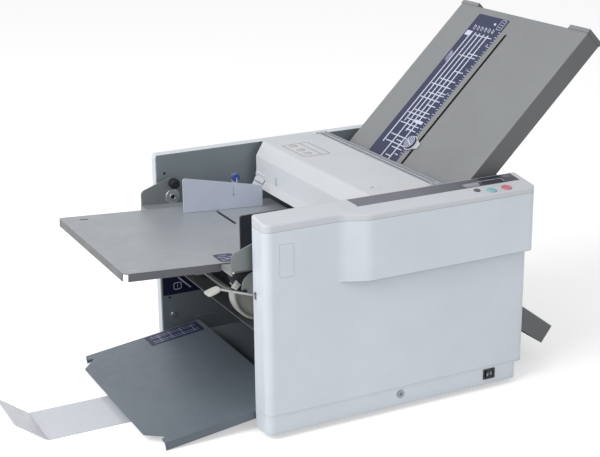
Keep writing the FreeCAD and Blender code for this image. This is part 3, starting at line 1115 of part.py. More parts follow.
def deflector():
    plate = Piece("exit_deflector")
    rise = "((deflector_left_z - deflector_right_z) / (deflector_right - deflector_left))"
    drop = f"(deflector_sheet * sqrt(1 + {rise} ^ 2))"
    section = [("deflector_left", "deflector_left_z"), ("deflector_left", f"deflector_left_z - {drop}"),
               ("deflector_right", f"deflector_right_z - {drop}"), ("deflector_right", "deflector_right_z")]
    plate.slab("y", "deflector_near", "deflector_far", section)
    arm = [("deflector_right", "deflector_right_z"), ("deflector_right", f"deflector_right_z - {drop}"),
           ("arm_right", "arm_low"), ("arm_right", "arm_top"), ("arm_corner_x", "arm_top"),
           ("arm_notch_x", "arm_notch_z")]
    plate.slab("y", "deflector_near - arm_sheet", "deflector_near", [
        ("arm_left", "arm_low"), ("arm_right", "arm_low"), ("arm_right", "arm_top"),
        ("arm_left", "arm_top", "arm_round")])
    plate.box(("deflector_right", "arm_left + arm_lip"),
              ("deflector_near - arm_lip", "deflector_near + arm_sheet"),
              (f"deflector_right_z - {drop}", "deflector_right_z"))
    plate.slab("y", "deflector_near", "deflector_near + arm_sheet", arm)
    plate.slab("y", "deflector_far - arm_sheet", "deflector_far", arm)
    rod = circle(("arm_rod_x", "arm_rod_z"), "arm_rod")
    plate.slab("y", BAY_NEAR, "deflector_near", rod)
    plate.slab("y", "deflector_far", FRAME_FAR, rod)


def tray_local(x, z):
    """A place of the machine in the tilted frame of the tray."""
    cos, sin = "cos(tray_tilt * 1 deg)", "sin(tray_tilt * 1 deg)"
    return (f"(({x}) * {cos} + (({z}) - tray_z) * {sin})", f"((({z}) - tray_z) * {cos} - ({x}) * {sin})")


def ordered(pair, side):
    return pair if side > 0 else (pair[1], pair[0])


def tray():
    pan = Piece("catch_tray", ("0", "0", "tray_z"), "-tray_tilt")
    near_y, far_y = "tray_near", "tray_far"
    lobe = "tray_middle_x"
    pan.slab("z", "-tray_sheet", "0", [
        ("tray_right", near_y), ("tray_right", far_y), ("tray_corner_x", far_y),
        ("tray_corner_x", f"{far_y} - tray_notch_y", "tray_round"),
        ("tray_corner_x + tray_notch_step", f"{far_y} - tray_notch_y - tray_round", "tray_round / 3"),
        (lobe, f"{far_y} - tray_notch_y - tray_lobe_y", "tray_round"),
        (lobe, f"{near_y} + tray_notch_y + tray_lobe_y", "tray_round"),
        ("tray_corner_x + tray_notch_step", f"{near_y} + tray_notch_y + tray_round", "tray_round / 3"),
        ("tray_corner_x", f"{near_y} + tray_notch_y", "tray_round"), ("tray_corner_x", near_y)])
    sides = ("tray_corner_x", "tray_right")
    pan.box(sides, (near_y, f"{near_y} + tray_sheet"), ("-tray_flange", "0"))
    pan.box(sides, (f"{far_y} - tray_sheet", far_y), ("-tray_flange", "0"))

    # Two runners under the tray hold the stop's strip down on the desk
    runner = ("runner_left", "runner_left + runner_length")
    for edge, side in (("stop_near", -1), ("stop_far", 1)):
        wall = (f"{edge} + {side} * slide_clear", f"{edge} + {side} * (slide_clear + runner_sheet)")
        lip = (f"{edge} - {side} * runner_lip", wall[1])
        pan.slab("y", *ordered(wall, side), [
            tray_local(runner[0], "runner_floor"), tray_local(runner[1], "runner_floor"),
            (tray_local(runner[1], "tray_z")[0], "-tray_sheet / 2"),
            (tray_local(runner[0], "tray_z")[0], "-tray_sheet / 2")])
        low = "stop_sheet + slide_clear"
        pan.slab("y", *ordered(lip, side), [
            tray_local(runner[0], low), tray_local(runner[1], low),
            tray_local(runner[1], f"{low} + runner_sheet"), tray_local(runner[0], f"{low} + runner_sheet")])

    stop = Piece("paper_stop")
    lean = "((stop_tip_z) / (stop_bend_x - stop_tip_x))"
    wide = f"(stop_sheet * sqrt(1 + {lean} ^ 2) / {lean})"
    stop.slab("y", "stop_near", "stop_far", [
        ("stop_tail_x", "0"), ("stop_tail_x", "stop_sheet"), ("stop_bend_x + stop_sheet / 2", "stop_sheet"),
        (f"stop_tip_x + {wide}", "stop_tip_z"), ("stop_tip_x", "stop_tip_z"), ("stop_bend_x", "0")])


def fold_plate(label, at, turn, low, end, slot):
    plate = Piece(label, at, turn)
    width = ("plate_near", "plate_near + plate_width")
    plate.box((low, end), width, ("-plate_thick", "0"))
    inner = (f"{width[0]} + plate_sheet", f"{width[1]} - plate_sheet")
    gap_top = "-plate_sheet"
    gap_low = "(-plate_sheet - plate_gap)"
    floor = f"({gap_low} - plate_floor)"
    plate.trim((f"{low} + plate_sheet", f"{end} - plate_sheet"), inner, ("-plate_thick", floor))
    paper = (f"{width[0]} + plate_margin", f"{width[1]} - plate_margin")
    plate.trim((low, f"{end} - plate_stopband"), paper, (gap_low, gap_top))
    windows = []
    pitch = f"((plate_width - 2 * plate_margin - rail_width) / rail_windows)"
    for number in range(int(value("rail_windows"))):
        start = f"({paper[0]} + rail_width + {number} * {pitch})"
        windows.append(rectangle((f"{low} + plate_margin * 2", f"{end} - plate_margin * 2"),
                                 (start, f"{start} + {pitch} - rail_width")))
    plate.cut("z", floor, gap_low, *windows)
    half = "slot_width / 2"
    plate.cut("z", gap_top, "0", rounded(slot, (f"slot_y - {half}", f"slot_y + {half}"), "slot_width / 3"))
    plate.dress("Fillet", "plate_round", lambda middle, edge: near(middle.z, "0") and (
        near(middle.y, width[0]) or near(middle.y, width[1])))


def fold_stop(number, at, turn, place):
    """Paper stop bar inside the plate, its stem through the slot and the white slider on top."""
    slider = Piece(f"fold_stop_{number}", at, turn)
    paper = ("plate_near + plate_margin + slider_play",
             "plate_near + plate_width - plate_margin - slider_play")
    bar = (f"{place} - slider_bar / 2", f"{place} + slider_bar / 2")
    gap_low = "(-plate_sheet - plate_gap + slider_play)"
    slider.box(bar, paper, (gap_low, "-plate_sheet - slider_play"))
    slider.box((f"{place} - slider_stem / 2", f"{place} + slider_stem / 2"),
               ("slot_y - slot_width / 2 + slider_play", "slot_y + slot_width / 2 - slider_play"),
               (gap_low, "slider_play"))
    top = ("slider_play", "slider_play + slider_sheet")
    slider.slab("z", top[0], top[1], circle((place, "slider_y"), "slider_radius"))
    flank = "slider_radius * slider_flank_share"
    slider.slab("z", top[0], top[1], [
        (f"{place} - {flank}", "slider_y"), (f"{place} - slider_tail_half", "slider_tail"),
        (f"{place} + slider_tail_half", "slider_tail"), (f"{place} + {flank}", "slider_y")])
    slider.slab("z", top[1], f"{top[1]} + dial_cap_height / 2", circle((place, "slider_y"), "dial_cap_pin"))

    knob = Piece(f"stop_knob_{number}", at, turn)
    rest = f"({top[1]} + seam)"
    knob.turned("z", (place, "slider_y"), [
        ("0", f"{top[1]} + dial_cap_height / 2 + seam"),
        ("dial_cap_pin + run_clear", f"{top[1]} + dial_cap_height / 2 + seam"),
        ("dial_cap_pin + run_clear", rest),
        ("dial_cap_radius", rest), ("dial_cap_radius", f"{rest} + dial_cap_height", "dial_cap_round"),
        ("0", f"{rest} + dial_cap_height")])


def fold_plates():
    upper = (("plate_x", "0", "plate_z"), "-plate_tilt")
    fold_plate("fold_plate_1", *upper, "plate_low", "plate_end", ("slot_low", "slot_high"))
    fold_stop("1", *upper, "slider_s")
    ends = Piece("plate_1_caps", *upper)
    for low in ("plate_near - cap_proud", "plate_near + plate_width + cap_proud - cap_width"):
        ends.slab("z", "-plate_thick - cap_proud", "cap_proud", rectangle(
            ("plate_end", "plate_end + cap_length"), (low, f"{low} + cap_width")))
    lower = (("lower_x", "0", "lower_z"), "lower_tilt")
    fold_plate("fold_plate_2", *lower, "-lower_length", "0", ("lower_slot_low", "lower_slot_high"))
    fold_stop("2", *lower, "lower_slider_s")


side_frames()
cross_bars()
frame_screws()
base()
operator_housing()
controls()
mains()
enclosure()
top_cover()
feed_table()
guides()
release_lever()
feed_roller()
for roller_name in "abcd":
    fold_roller(roller_name)
    gear(roller_name)
bushes()
drive()
belts()
delivery_wheels()
chute()
deflector()
tray()
fold_plates()
document.recompute()

faults = [f"{item.Name} {item.State}" for item in document.Objects
          if "Invalid" in item.State or "Error" in item.State]
for item in document.Objects:
    if item.TypeId in ("PartDesign::Pocket", "PartDesign::Groove") and not faults:
        before = item.BaseFeature.Shape.Volume
        if item.Shape.Volume > before - 1e-6:
            faults.append(f"{item.Name} cuts nothing")
for node in NODES:
    if node.Shape.isNull() or not node.Shape.isValid():
        faults.append(f"{node.Label} has no valid shape")
if faults:
    raise RuntimeError("; ".join(faults))
os.makedirs("parts", exist_ok=True)
for node in NODES:
    node.Shape.exportStep(os.path.join("parts", f"{node.Label}.step"))
print(len(NODES), "nodes")
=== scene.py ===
import json
import math

import bmesh
import bpy
from mathutils import Matrix, Vector

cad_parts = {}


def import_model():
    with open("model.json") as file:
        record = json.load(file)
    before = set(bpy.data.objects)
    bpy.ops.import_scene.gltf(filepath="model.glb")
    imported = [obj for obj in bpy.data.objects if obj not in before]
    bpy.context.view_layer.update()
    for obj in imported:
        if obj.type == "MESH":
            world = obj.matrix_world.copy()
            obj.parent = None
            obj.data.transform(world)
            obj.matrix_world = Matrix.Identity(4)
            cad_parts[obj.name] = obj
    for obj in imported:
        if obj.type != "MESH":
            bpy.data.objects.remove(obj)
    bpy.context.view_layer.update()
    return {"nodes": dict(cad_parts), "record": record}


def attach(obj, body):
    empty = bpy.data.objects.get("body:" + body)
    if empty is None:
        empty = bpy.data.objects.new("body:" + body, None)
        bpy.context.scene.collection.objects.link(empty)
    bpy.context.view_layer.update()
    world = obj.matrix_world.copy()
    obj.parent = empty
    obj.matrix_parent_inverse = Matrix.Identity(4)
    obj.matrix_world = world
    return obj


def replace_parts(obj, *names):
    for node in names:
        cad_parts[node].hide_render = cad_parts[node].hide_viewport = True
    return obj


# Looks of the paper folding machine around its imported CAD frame. Metres; the helper at() takes
# the millimetre places that the CAD source uses, from the left end of the operator's cover.

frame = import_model()

# Middle of the machine's floor space, in those millimetres
MIDDLE_X = 141.6012
MIDDLE_Y = 213.1


def at(x, y, z):
    return Vector(((x - MIDDLE_X) / 1000, (y - MIDDLE_Y) / 1000, z / 1000))


# Materials

# Part of a noise's range that its values mostly fill
DRIFT = (0.3, 0.7)
# Places of the colour sockets of a Mix node
MIX_FACTOR, MIX_FIRST, MIX_SECOND, MIX_RESULT = 0, 6, 7, 2


class Surface:
    """A node material in the making: each maker below sets its colour, gloss and relief by nodes."""

    def __init__(self, name):
        self.material = bpy.data.materials.new(name)
        self.material.use_nodes = True
        self.tree = self.material.node_tree
        self.tree.nodes.clear()
        self.output = self.tree.nodes.new("ShaderNodeOutputMaterial")
        self.shader = self.tree.nodes.new("ShaderNodeBsdfPrincipled")
        self.link(self.shader.outputs[0], self.output.inputs["Surface"])
        self.place = self.tree.nodes.new("ShaderNodeTexCoord").outputs["Object"]

    def link(self, source, target):
        self.tree.links.new(source, target)

    def node(self, kind, settings=None, **inputs):
        made = self.tree.nodes.new(kind)
        for key, value in (settings or {}).items():
            setattr(made, key, value)
        for key, value in inputs.items():
            self.put(made.inputs[key.replace("_", " ")], value)
        return made

    def put(self, socket, value):
        if isinstance(value, bpy.types.NodeSocket):
            self.link(value, socket)
        else:
            socket.default_value = value

    def noise(self, size, detail=3.0, rough=0.55, stretch=(1, 1, 1)):
        """Noise whose grains are about size millimetres wide."""
        mapping = self.node("ShaderNodeMapping", Vector=self.place)
        mapping.inputs["Scale"].default_value = [1000 / size * part for part in stretch]
        return self.node("ShaderNodeTexNoise", Vector=mapping.outputs[0], Scale=1.0, Detail=detail,
                         Roughness=rough).outputs["Fac"]

    def span(self, source, low, high, first=0.0, last=1.0):
        made = self.node("ShaderNodeMapRange", Value=source)
        for key, value in (("From Min", first), ("From Max", last), ("To Min", low), ("To Max", high)):
            made.inputs[key].default_value = value
        return made.outputs[0]

    def mix(self, factor, first, second):
        made = self.node("ShaderNodeMix", {"data_type": "RGBA"})
        self.put(made.inputs[MIX_FACTOR], factor)
        self.put(made.inputs[MIX_FIRST], first)
        self.put(made.inputs[MIX_SECOND], second)
        return made.outputs[MIX_RESULT]

    def maths(self, operation, first, second=0.0):
        made = self.node("ShaderNodeMath", {"operation": operation})
        self.put(made.inputs[0], first)
        self.put(made.inputs[1], second)
        return made.outputs[0]

    def clouded(self, noise, colour, spread):
        """Colour that drifts with a noise, from darker to lighter by the spread."""
        return self.mix(self.span(noise, 0.0, 1.0, *DRIFT), tinted(colour, 1 - spread),
                        tinted(colour, 1 + spread))

    def edges(self, radius):
        """Bevelled normal, and a mask that is 1 on edges that hands and tools rub."""
        bevel = self.node("ShaderNodeBevel", {"samples": 4}, Radius=radius / 1000)
        flat = self.node("ShaderNodeNewGeometry").outputs["Normal"]
        dot = self.node("ShaderNodeVectorMath", {"operation": "DOT_PRODUCT"})
        self.link(bevel.outputs[0], dot.inputs[0])
        self.link(flat, dot.inputs[1])
        return bevel.outputs[0], self.span(dot.outputs["Value"], 1.0, 0.0, 0.86, 1.0)

    def upward(self):
        """Mask for painted light and shade: 1 on faces that look up, 0 on upright ones and below."""
        parts = self.node("ShaderNodeSeparateXYZ")
        self.link(self.node("ShaderNodeNewGeometry").outputs["Normal"], parts.inputs[0])
        return self.span(parts.outputs["Z"], 0.0, 1.0, 0.1, 0.6)

    def crease_shade_mask(self, reach):
        """Mask for painted shade: 1 in the open and 0 where forms meet, within a reach in millimetres."""
        open_share = self.node("ShaderNodeAmbientOcclusion", {"samples": 8}, Distance=reach / 1000)
        return self.span(open_share.outputs["AO"], 0.0, 1.0, 0.25, 0.95)

    def along_x(self, start, end):
        """0 before one place of the machine's length and 1 after the other, both in metres."""
        parts = self.node("ShaderNodeSeparateXYZ", Vector=self.place)
        return self.span(parts.outputs["X"], 0.0, 1.0, start, end)

    def relief(self, height, depth, normal=None):
        bump = self.node("ShaderNodeBump", Strength=1.0, Distance=depth / 1000, Height=height)
        if normal is not None:
            self.link(normal, bump.inputs["Normal"])
        return bump.outputs[0]

    def shade(self, colour, rough, normal, metallic=0.0, **constants):
        self.put(self.shader.inputs["Base Color"], colour)
        self.put(self.shader.inputs["Roughness"], rough)
        self.shader.inputs["Metallic"].default_value = metallic
        self.link(normal, self.shader.inputs["Normal"])
        for key, value in constants.items():
            self.shader.inputs[key.replace("_", " ")].default_value = value
        return self.material


def tinted(colour, share):
    """The colour times a share, as red, green, blue and alpha."""
    return tuple(min(1.0, part * share) for part in colour[:3]) + (1.0,)


def moulded(name, colour, rough=0.42, grain=0.5, depth=0.02, spread=0.03, edge=0.8, coat=0.0, crease_shade=0,
            side=1.0):
    """Injection-moulded shell: eroded grain, faint clouding, soft lit edges.

    Grain, depth, edge and the crease reach are in millimetres; the crease reach is how far a painted shade
    reaches out of the places where forms meet. Upright faces are painted lighter than those that look up,
    by the share called side: painted light."""
    made = Surface(name)
    clouds = made.noise(90, 4)
    fine = made.noise(grain, 2, 0.6)
    normal, worn = made.edges(edge)
    base = made.clouded(clouds, colour, spread)
    base = made.mix(made.maths("MULTIPLY", made.span(fine, 0.0, 1.0, 0.42, 0.6), spread * 2), base,
                    tinted(colour, 0.86))
    base = made.mix(made.maths("MULTIPLY", worn, 0.25), base, tinted(colour, 1.12))
    # Painted light: upright faces lighter than those that look up
    if side > 1.0:
        base = made.mix(made.upward(), tinted(colour, side), base)
    # Painted shade where forms meet, from the form's ambient occlusion
    if crease_shade:
        base = made.mix(made.crease_shade_mask(crease_shade), tinted(colour, 0.72), base)
    shine = made.span(made.noise(25, 3), rough - 0.05, rough + 0.07, *DRIFT)
    return made.shade(base, shine, made.relief(fine, depth, normal), Coat_Weight=coat, Coat_Roughness=0.25)


def powder(name, colour, rough=0.45, grain=1.1, depth=0.03, spread=0.05, edge=0.5, side=1.0):
    """Powder-coated sheet: orange peel, faint speckle, paint that is thin and lighter on edges.

    Upright faces are painted darker than those that look up, by the share called side: painted shade."""
    made = Surface(name)
    peel = made.noise(grain, 2, 0.5)
    speck = made.noise(0.35, 1, 0.5)
    clouds = made.noise(120, 3)
    normal, worn = made.edges(edge)
    base = made.clouded(clouds, colour, spread)
    base = made.mix(made.span(speck, 0.0, 0.35, 0.56, 0.7), base, tinted(colour, 0.8))
    # Painted shade: upright faces darker than those that look up
    if side < 1.0:
        base = made.mix(made.upward(), made.mix(side, (0, 0, 0, 1), base), base)
    base = made.mix(made.maths("MULTIPLY", worn, 0.35), base, tinted(colour, 1.45 * side))
    shine = made.span(made.noise(18, 3), rough - 0.06, rough + 0.08, *DRIFT)
    return made.shade(base, shine, made.relief(peel, depth, normal))


def brushed(name, colour, rough=0.3, stretch=(1, 0.03, 1), grain=0.4, edge=0.25):
    """Turned or rolled bright metal with fine lines along its length and a few darker stains."""
    made = Surface(name)
    lines = made.noise(grain, 3, 0.6, stretch)
    stain = made.noise(14, 4)
    normal, worn = made.edges(edge)
    base = made.mix(made.span(lines, 0.0, 1.0, *DRIFT), tinted(colour, 0.86), tinted(colour, 1.08))
    base = made.mix(made.span(stain, 0.0, 0.35, 0.55, 0.75), base, tinted(colour, 0.62))
    base = made.mix(made.maths("MULTIPLY", worn, 0.4), base, tinted(colour, 1.25))
    shine = made.span(lines, rough - 0.08, rough + 0.12, *DRIFT)
    return made.shade(base, shine, made.relief(lines, 0.008, normal), metallic=1.0)


def rubbery(name, colour, rough=0.72, grain=0.3, depth=0.03):
    """Ground rubber: matte, with dust in its pores and a greyer wear band on edges."""
    made = Surface(name)
    pores = made.noise(grain, 4, 0.7)
    dust = made.noise(8, 4)
    normal, worn = made.edges(0.4)
    base = made.mix(made.span(dust, 0.0, 0.5, 0.45, 0.7), colour[:3] + (1.0,), tinted(colour, 1.9))
    base = made.mix(made.span(pores, 0.0, 0.5, 0.5, 0.68), base, tinted(colour, 0.55))
    base = made.mix(made.maths("MULTIPLY", worn, 0.5), base, tinted(colour, 2.2))
    shine = made.span(pores, rough - 0.1, rough + 0.1, *DRIFT)
    return made.shade(base, shine, made.relief(pores, depth, normal))


# Places along the machine, in metres, between which a film runs into its deep colour
DEEPENS = (0.10, 0.26)


def film(name, colour, rough=0.35, spread=0.04, grain=0.25, deep=None, coat=0.3):
    """Printed polyester film: even colour with a fine screen and a satin sheen.

    A deep colour is the one that the print runs into at the right end of the machine."""
    made = Surface(name)
    screen = made.noise(grain, 2)
    clouds = made.noise(40, 3)
    base = made.clouded(clouds, colour, spread)
    base = made.mix(made.span(screen, 0.0, 0.25, 0.5, 0.7), base, tinted(colour, 0.85))
    if deep:
        base = made.mix(made.along_x(*DEEPENS), base, deep + (1.0,))
    shine = made.span(clouds, rough - 0.05, rough + 0.05, *DRIFT)
    return made.shade(base, shine, made.relief(screen, 0.004), Coat_Weight=coat, Coat_Roughness=0.2)


def tinted_window(name, colour):
    """Smoked display window with a darker band of display cells behind it."""
    made = Surface(name)
    cells = made.noise(3.2, 1, 0.4, (1, 0.2, 1))
    base = made.mix(made.span(cells, 0.0, 1.0, 0.45, 0.55), tinted(colour, 0.8), tinted(colour, 1.25))
    return made.shade(base, made.span(cells, 0.08, 0.16, *DRIFT), made.relief(made.noise(30, 1), 0.01),
                      Coat_Weight=0.8, Coat_Roughness=0.05)


# One finish for each material slot of the record
MATERIALS = {
    # body_white: painted shade where forms meet
    "body_white": moulded("body_white", (0.69, 0.74, 0.80), 0.40, 0.45, 0.015, crease_shade=22),
    "cap_white": moulded("cap_white", (0.63, 0.655, 0.695), 0.45, 0.6, 0.02),
    # lid_white: upright faces painted lighter, as painted light
    "lid_white": moulded("lid_white", (0.64, 0.665, 0.69), 0.45, 0.6, 0.02, side=1.18),
    "frame_grey": powder("frame_grey", (0.205, 0.242, 0.262), 0.5),
    # plate_grey and tray_grey: upright faces painted darker, as painted shade
    "plate_grey": powder("plate_grey", (0.248, 0.26, 0.268), 0.42, side=0.5),
    "tray_grey": powder("tray_grey", (0.16, 0.192, 0.228), 0.45, side=0.75),
    "channel_grey": powder("channel_grey", (0.42, 0.44, 0.49), 0.38),
    "steel": brushed("steel", (0.62, 0.63, 0.64), 0.28),
    "zinc": brushed("zinc", (0.66, 0.68, 0.69), 0.34, (0.03, 1, 1)),
    "rubber_dark": rubbery("rubber_dark", (0.028, 0.029, 0.031)),
    "roller_rubber": rubbery("roller_rubber", (0.10, 0.108, 0.115), 0.6, 0.22),
    "black_plastic": moulded("black_plastic", (0.009, 0.011, 0.014), 0.5, 0.5, 0.02, 0.1, 0.5),
    "strip_dark": film("strip_dark", (0.135, 0.143, 0.178), 0.45, deep=(0.04, 0.045, 0.065), coat=0.1),
    "window_tint": tinted_window("window_tint", (0.03, 0.036, 0.05)),
    "button_green": moulded("button_green", (0.26, 0.55, 0.56), 0.3, 0.8, 0.006, 0.04, 0.5, 0.4),
    "button_red": moulded("button_red", (0.66, 0.20, 0.26), 0.3, 0.8, 0.006, 0.04, 0.5, 0.4),
    "button_grey": moulded("button_grey", (0.06, 0.055, 0.085), 0.32, 0.8, 0.006, 0.06, 0.5, 0.4),
    "blue_plastic": moulded("blue_plastic", (0.03, 0.07, 0.30), 0.3, 0.8, 0.006, 0.06, 0.5, 0.5),
    "guide_black": powder("guide_black", (0.038, 0.044, 0.054), 0.42),
    "fence_light": powder("fence_light", (0.62, 0.66, 0.78), 0.38),
    "ivory_plastic": moulded("ivory_plastic", (0.585, 0.60, 0.56), 0.4, 0.6, 0.015, 0.04, 0.6, 0.2),
    "gear_plastic": moulded("gear_plastic", (0.66, 0.63, 0.52), 0.35, 0.7, 0.01, 0.05, 0.3, 0.2),
    "motor_black": powder("motor_black", (0.03, 0.03, 0.034), 0.4),
    "bronze": brushed("bronze", (0.45, 0.31, 0.15), 0.38, (1, 1, 0.2), 0.5),
    "stop_glossy": powder("stop_glossy", (0.70, 0.725, 0.79), 0.22, 1.6, 0.01, 0.03),
    "dial_navy": film("dial_navy", (0.055, 0.065, 0.14), 0.3),
}

# Nodes whose finish differs a little from the rest of their slot
SLIDER_GREY = moulded("slider_grey", (0.56, 0.585, 0.61), 0.4, 0.6, 0.015)
# feed_table and table_carrier: upright faces painted darker, as painted shade
OWN_LOOK = {"feed_table": powder("table_grey", (0.335, 0.36, 0.39), 0.36, side=0.32),
            "table_carrier": powder("carrier_grey", (0.25, 0.275, 0.28), 0.42, side=0.85),
            # The exit chute's near black is painted shade
            "exit_chute": powder("chute_painted_shade", (0.085, 0.095, 0.105), 0.5),
            "cover_screws": brushed("screw_dark", (0.30, 0.32, 0.35), 0.42, (1, 1, 0.2)),
            "fold_stop_1": SLIDER_GREY, "fold_stop_2": SLIDER_GREY,
            "release_lever": brushed("lever_zinc", (0.40, 0.42, 0.43), 0.4, (0.03, 1, 1))}

slot_of = {part["node"]: part["material_slot"] for part in frame["record"]["subparts"]}
for node, carried in frame["nodes"].items():
    carried.data.materials.clear()
    carried.data.materials.append(OWN_LOOK.get(node, MATERIALS[slot_of[node]]))


# Faces of the machine that carry prints and small parts

class Face:
    """A flat face in machine millimetres: u and v lie in it, and it looks along u x v."""

    def __init__(self, origin, along, up):
        self.origin = Vector(origin)
        self.along = Vector(along).normalized()
        self.up = Vector(up).normalized()
        self.out = self.along.cross(self.up)

    def at(self, u, v, lift=0.0):
        return at(*(self.origin + self.along * u + self.up * v + self.out * lift))


def tilted(x, z, degrees):
    """Face through x, z that rises towards +x by degrees, v along the machine's depth."""
    turn = math.radians(degrees)
    return Face((x, 0, z), (math.cos(turn), 0, math.sin(turn)), (0, 1, 0))


# Slopes of the plates, the table and the tray in degrees, and of the cap in radians
PLATE_TILT, LOWER_TILT, TABLE_TILT, TRAY_TILT = 44.3, 37.0, 3.43, 7.2
CAP_TILT = math.radians(8.3)
CAP_EDGE_Y, TOP_Z = 41, 334
DEFLECTOR_DROP, DEFLECTOR_RUN = 5.5, 19.7
PLATE_1 = tilted(393.5, 351.3, PLATE_TILT)
PLATE_2 = tilted(542.5, 56.8, -LOWER_TILT)
TABLE = tilted(0, 252.6, -TABLE_TILT)
TRAY = tilted(0, 31.6, TRAY_TILT)
LID_TOP = tilted(0, TOP_Z, 0)
CHANNEL = tilted(0, 333.7, 0)
DEFLECTOR = tilted(-23.2, 213.5, -math.degrees(math.atan2(DEFLECTOR_DROP, DEFLECTOR_RUN)))
CAP = Face((0, CAP_EDGE_Y, TOP_Z), (1, 0, 0), (0, math.cos(CAP_TILT), math.sin(CAP_TILT)))
LID_FRONT = Face((177.7, 0, 0), (0, -1, 0), (0, 0, 1))
LID_FLAP = Face((169, 0, 263.7), (0, -1, 0), (8.7, 0, 12.3))
REAR = Face((437.5, 0, 0), (0, 1, 0), (0, 0, 1))
ROCKER_OFF = Face((376.45, -3.5, 0), (7.05, 2.6, 0), (0, 0, 1))
NEAR_EAR = Face((0, 53, 0), (-1, 0, 0), (0, 0, 1))


def upright(y, x=0):
    """Face square to the machine's depth that looks at the operator: u is x and v is z."""
    return Face((x, y, 0), (1, 0, 0), (0, 0, 1))


NEAR_COVER, ROCKER_ON = upright(0), upright(-0.9, 387)
FAR_FRAME, FAR_EAR, KNOB_FACE = upright(415.3), upright(405.3), upright(405.0)
FENCE, SKEW_FACE = upright(337), upright(340.2)
ARM, ARM_DISC = upright(84), upright(82)

# Feet of the prints and small parts lie this far under their face, and plain prints this far over it
UNDER, PRINT = -0.3, 0.08


def on_cap(y):
    """Place along the cap's slope for a depth measured level."""
    return (y - CAP_EDGE_Y) / math.cos(CAP_TILT)


# Outlines, as lists of places on a face

def arc(u, v, radius, start, sweep, steps):
    """Places round a middle, from a start through a sweep in degrees."""
    return [(u + radius * math.cos(math.radians(start + sweep * step / steps)),
             v + radius * math.sin(math.radians(start + sweep * step / steps))) for step in range(steps + 1)]


def disc(u, v, radius, steps=40):
    return arc(u, v, radius, 0, 360, steps)[:-1]


def block(u_low, u_high, v_low, v_high, corner=0.0, steps=6):
    """Rectangle, with round corners where a radius is given."""
    if not corner:
        return [(u_low, v_low), (u_high, v_low), (u_high, v_high), (u_low, v_high)]
    points = []
    for u, v, start in ((u_high - corner, v_low + corner, -90), (u_high - corner, v_high - corner, 0),
                        (u_low + corner, v_high - corner, 90), (u_low + corner, v_low + corner, 180)):
        points += arc(u, v, corner, start, 90, steps)
    return points


def fluted(u, v, radius, count, flutes):
    """Round outline with finger grips: flutes holds (share of one grip, reach) places."""
    outline = []
    for grip in range(count):
        for share, reach in flutes:
            turn = 2 * math.pi * (grip + share) / count
            outline.append((u + (radius + reach) * math.cos(turn), v + (radius + reach) * math.sin(turn)))
    return outline


# Least cosine between a line's side and its mitre, which keeps the corners of sharp turns short
SHARPEST = 0.4


def stroke(points, width, closed=False):
    """Left and right sides of a line of this width through the points."""
    track = [Vector(point) for point in points]
    left, right = [], []
    last = len(track) - 1
    for number, here in enumerate(track):
        before = track[number - 1] if number or closed else here
        after = track[(number + 1) % len(track)] if number < last or closed else here
        first = (here - before).normalized() if before != here else (after - here).normalized()
        second = (after - here).normalized() if after != here else first
        across = Vector((-(first + second).y, (first + second).x)).normalized()
        reach = width / 2 / max(SHARPEST, across.dot(Vector((-first.y, first.x))))
        left.append(tuple(here + across * reach))
        right.append(tuple(here - across * reach))
    return left, right


